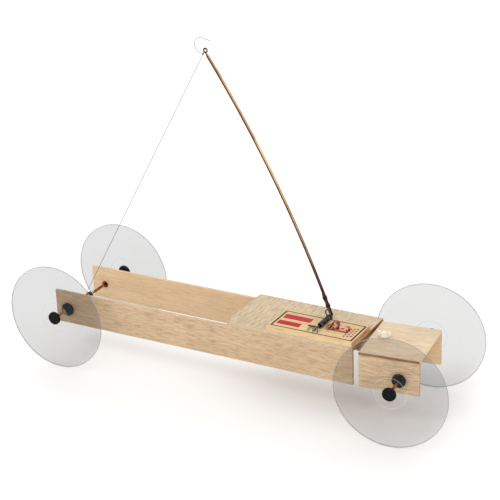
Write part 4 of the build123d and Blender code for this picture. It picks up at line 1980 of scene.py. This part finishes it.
@dataclass(frozen=True)
class DriveString:
    """The string from the lever's eye to the hub on the rear axle.

    The loose end's points are in millimetres, forward and up from the eye.
    """

    radius: float = 0.25 * MM
    sides: int = 8
    gap: float = 0.3 * MM
    hub_radius: float = 3.2 * MM
    waist_depth: float = 0.2 * MM
    waist_from: float = 0.8 * MM
    rim: float = 0.5 * MM
    axle_radius: float = 1.6 * MM
    turns: int = 4
    loop: float = 1.45 * MM
    loop_turn: float = FULL_TURN * 0.98
    knot: float = 0.8 * MM
    knot_turns: int = 4
    wound_pitch: float = 2.25
    knot_pitch: float = 2.1
    runs: int = 64
    loose_length: float = 38.1 * MM
    loose_end: Outline = (
        (-7.3, -2.6),
        (-11.7, 3.2),
        (-11.6, 9.8),
        (-7.0, 13.9),
        (-1.2, 13.4),
        (7.2, 11.2),
    )

    def build(self, shop: Workshop, layout: Layout, eye: Vector, eye_radius: float) -> None:
        """Makes the hub, the string on it, the taut run, the knot and the loose end.

        Args:
            shop: where pieces are finished.
            layout: the car's frames.
            eye: the centre of the lever's eye.
            eye_radius: the eye's radius.
        """
        axle = layout.rear_axle
        low, high = shop.local_box("string_hub", axle)
        self.hub(shop, axle, low.y, high.y)
        middle = (low.y + high.y) / 2
        self.wound(shop, axle, middle)
        hub = axle @ Vector((0, middle, 0))
        pull = (eye - hub).normalized()
        side = Vector((-pull.z, 0, pull.x)).normalized()
        foot = hub + side * (self.hub_radius + 3 * self.radius + self.gap)
        pull = (eye - foot).normalized()
        ring = eye - pull * eye_radius
        knot = ring - pull * (self.loop + self.knot / 2)
        top = knot - pull * (self.knot + self.gap)
        self.taut(shop, foot, top)
        self.tied(shop, ring, knot, pull)
        self.tail(shop, knot, eye)

    def hub(self, shop: Workshop, axle: Matrix, low: float, high: float) -> None:
        """Makes the rubber hub that the string winds on, and the collar beside it.

        Args:
            shop: where pieces are finished.
            axle: the rear axle's frame.
            low: the hub's right end, along the axle.
            high: its left end.
        """
        waist = self.hub_radius - self.waist_depth
        outline = [
            (self.axle_radius, low),
            (self.hub_radius, low),
            (self.hub_radius, low + self.rim),
            (waist, low + self.waist_from),
            (waist, high - self.waist_from),
            (self.hub_radius, high - self.rim),
            (self.hub_radius, high),
            (self.axle_radius, high),
        ]
        body = Body.REAR_AXLE
        drum = lathe(outline, axle, steps=40, rounding=0.1 * MM)
        shop.piece("winding_hub", drum, body, Slot.BLACK_RUBBER, ["string_hub"])
        near, far = shop.local_box("string_collar", axle)
        ring = [(self.axle_radius, near.y), (far.z, near.y)]
        ring += [(far.z, far.y), (self.axle_radius, far.y)]
        collar = lathe(ring, axle, steps=36, rounding=0.35 * MM)
        shop.piece("hub_collar", collar, body, Slot.NYLON, ["string_collar"])

    def wound(self, shop: Workshop, axle: Matrix, middle: float) -> None:
        """Winds the string's turns on the hub.

        Args:
            shop: where pieces are finished.
            axle: the rear axle's frame.
            middle: the middle of the turns, along the axle.
        """
        pitch = self.wound_pitch * self.radius
        out = self.hub_radius + self.radius
        low = middle - pitch * self.turns / 2
        wire = Drawn(axle @ Vector((out, low, 0)), -UP, self.radius, self.sides)
        wire.bend(FULL_TURN * self.turns, LEFT, out, LEFT * pitch * self.turns, 28 * self.turns)
        shop.piece("wound_string", wire.cut(), Body.REAR_AXLE, Slot.STRING, ["string_turns"])

    def taut(self, shop: Workshop, foot: Vector, top: Vector) -> None:
        """Makes the tight run between the hub and the knot.

        Args:
            shop: where pieces are finished.
            foot: its end at the hub.
            top: its end at the knot.
        """
        length = (top - foot).length
        wire = Drawn(foot, top - foot, self.radius, self.sides)
        wire.straight(length, self.runs)
        thing = shop.piece(
            "taut_string", wire.cut(), Body.CHASSIS, Slot.STRING, ["string_taut"], ride=False
        )
        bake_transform(thing)

    def tied(self, shop: Workshop, ring: Vector, knot: Vector, pull: Vector) -> None:
        """Ties the loop through the eye and the wraps of its knot.

        Args:
            shop: where pieces are finished.
            ring: where the loop goes through the eye.
            knot: the knot's middle.
            pull: the string's direction, up to the eye.
        """
        side = Vector((-pull.z, 0, pull.x)).normalized()
        start = ring - pull * self.loop
        loop = Drawn(start, LEFT, self.radius, self.sides, across=side)
        loop.bend(self.loop_turn, LEFT.cross(pull), self.loop, steps=24)
        coil = self.knot - self.radius
        pitch = self.knot_pitch * self.radius
        start = knot - pull * (pitch * self.knot_turns / 2) + side * coil
        wraps = Drawn(start, LEFT, self.radius, self.sides, across=side)
        rise = pull * pitch * self.knot_turns
        wraps.bend(FULL_TURN * self.knot_turns, LEFT.cross(-side), coil, rise, 16 * self.knot_turns)
        core = Drawn(knot - pull * (self.knot + self.gap), pull, self.radius, self.sides)
        core.straight((ring - knot).length + self.knot)
        shapes = [loop.cut(), wraps.cut(), core.cut()]
        shop.piece("tied_knot", joined(shapes), Body.LEVER, Slot.STRING, ["string_knot"])

    def tail(self, shop: Workshop, knot: Vector, eye: Vector) -> None:
        """Lays the loose end past the knot as one smooth curve.

        Args:
            shop: where pieces are finished.
            knot: the knot's middle.
            eye: the centre of the lever's eye.
        """
        points = [eye + Vector((forward, 0, up)) * MM for forward, up in self.loose_end]
        start = knot + (points[0] - knot).normalized() * self.knot
        points = [start, *points]
        curve = bpy.data.curves.new("loose_string", "CURVE")
        curve.dimensions = "3D"
        curve.bevel_depth = self.radius
        curve.bevel_resolution = 3
        curve.resolution_u = 16
        curve.use_fill_caps = True
        spline = curve.splines.new("NURBS")
        spline.points.add(len(points) - 1)
        for slot, point in zip(spline.points, points):
            slot.co = (*point, 1.0)
        spline.order_u = 3
        spline.use_endpoint_u = True
        curve.materials.append(shop.finishes.of(Slot.STRING))
        thing = bpy.data.objects.new("loose_string", curve)
        shop.enter(thing, Body.LEVER, ["string_tail"])


# ---------------------------------------------------------------- studio


@dataclass(frozen=True)
class Lamp:
    """One soft rectangular light."""

    name: str
    place: tuple[float, float, float]
    width: float
    power: float


@dataclass(frozen=True)
class Studio:
    """A pale floor, soft light and the camera."""

    floor_size: float = 12.0
    floor_tone: Colour = (0.92, 0.92, 0.92)
    sky: float = 1.0
    lens: float = 110.68
    film_width: float = 36.0
    farthest: float = 50.0
    azimuth: float = math.radians(29.55)
    elevation: float = math.radians(22.82)
    roll: float = math.radians(-2.0)
    distance: float = 1.63969
    target: tuple[float, float, float] = (0.2035, 0.01807, 0.14494)
    aim: tuple[float, float, float] = (0.0, 0.0, 0.12)
    lamps: tuple[Lamp, ...] = (
        Lamp("key", (-0.3, -1.8, 2.2), 0.8, 15.0),
        Lamp("fill", (1.8, -1.6, 0.55), 0.7, 8.0),
        Lamp("rim", (-0.6, 2.0, 1.5), 0.9, 8.0),
    )

    def build(self, layout: Layout) -> None:
        """Sets the floor, the lights and the camera.

        Args:
            layout: the car's frames.
        """
        scene = bpy.context.scene
        scene.view_settings.view_transform = "Standard"
        self.floor(scene)
        world = bpy.data.worlds.new("pale_room")
        world.use_nodes = True
        background = world.node_tree.nodes["Background"]
        background.inputs["Color"].default_value = (1, 1, 1, 1)
        background.inputs["Strength"].default_value = self.sky
        scene.world = world
        for lamp in self.lamps:
            self.light(scene, lamp)
        camera = bpy.data.cameras.new("camera")
        camera.lens = self.lens
        camera.sensor_width = self.film_width
        camera.clip_end = self.farthest
        thing = bpy.data.objects.new("camera", camera)
        turn = (
            Matrix.Rotation(self.azimuth, 4, "Z")
            @ Matrix.Rotation(QUARTER_TURN - self.elevation, 4, "X")
            @ Matrix.Rotation(self.roll, 4, "Z")
        )
        middle = layout.chassis @ Vector(self.target)
        back = Matrix.Translation((0, 0, self.distance))
        thing.matrix_world = Matrix.Translation(middle) @ turn @ back
        scene.collection.objects.link(thing)
        scene.camera = thing

    def floor(self, scene: bpy.types.Scene) -> None:
        """Lays the floor.

        Args:
            scene: the scene.
        """
        shape = bmesh.new()
        bmesh.ops.create_grid(shape, x_segments=1, y_segments=1, size=self.floor_size / 2)
        mesh = bpy.data.meshes.new("floor")
        shape.to_mesh(mesh)
        shape.free()
        sheet = Sheet("pale_floor")
        sheet.give(base_color=self.floor_tone, roughness=0.9, specular_ior_level=0.1)
        mesh.materials.append(sheet.material)
        floor = bpy.data.objects.new("floor", mesh)
        scene.collection.objects.link(floor)

    def light(self, scene: bpy.types.Scene, lamp: Lamp) -> None:
        """Hangs one soft light, aimed at the car.

        Args:
            scene: the scene.
            lamp: the light.
        """
        data = bpy.data.lights.new(lamp.name, "AREA")
        data.size = lamp.width
        data.energy = lamp.power
        thing = bpy.data.objects.new(lamp.name, data)
        place = Vector(lamp.place)
        aim = (Vector(self.aim) - place).to_track_quat("-Z", "Y").to_matrix().to_4x4()
        thing.matrix_world = Matrix.Translation(place) @ aim
        scene.collection.objects.link(thing)


def main() -> None:
    """Builds the car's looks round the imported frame."""
    logging.basicConfig(level=logging.INFO, format="%(name)s: %(message)s")
    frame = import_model()
    layout = Layout.read(frame["joints"])
    shop = Workshop(frame["nodes"], Finishes())
    Studio().build(layout)
    trap, lever = Trap(), Lever()
    leaned = trap.leaned(layout)
    eye = lever.eye(leaned, lever.side(trap, shop, leaned))
    DriveString().build(shop, layout, eye, lever.eye_radius)
    Boards().build(shop, layout)
    WheelSet("rear", Body.REAR_AXLE, Body.CHASSIS, 0.18).build(shop, layout.rear_axle)
    WheelSet("front", Body.FRONT_AXLE, Body.CARRIAGE, 0.15).build(shop, layout.front_axle)
    Pivot().build(shop, layout)
    trap.build(shop, layout)
    lever.build(shop, trap, leaned)


if __name__ == "__main__":
    main()
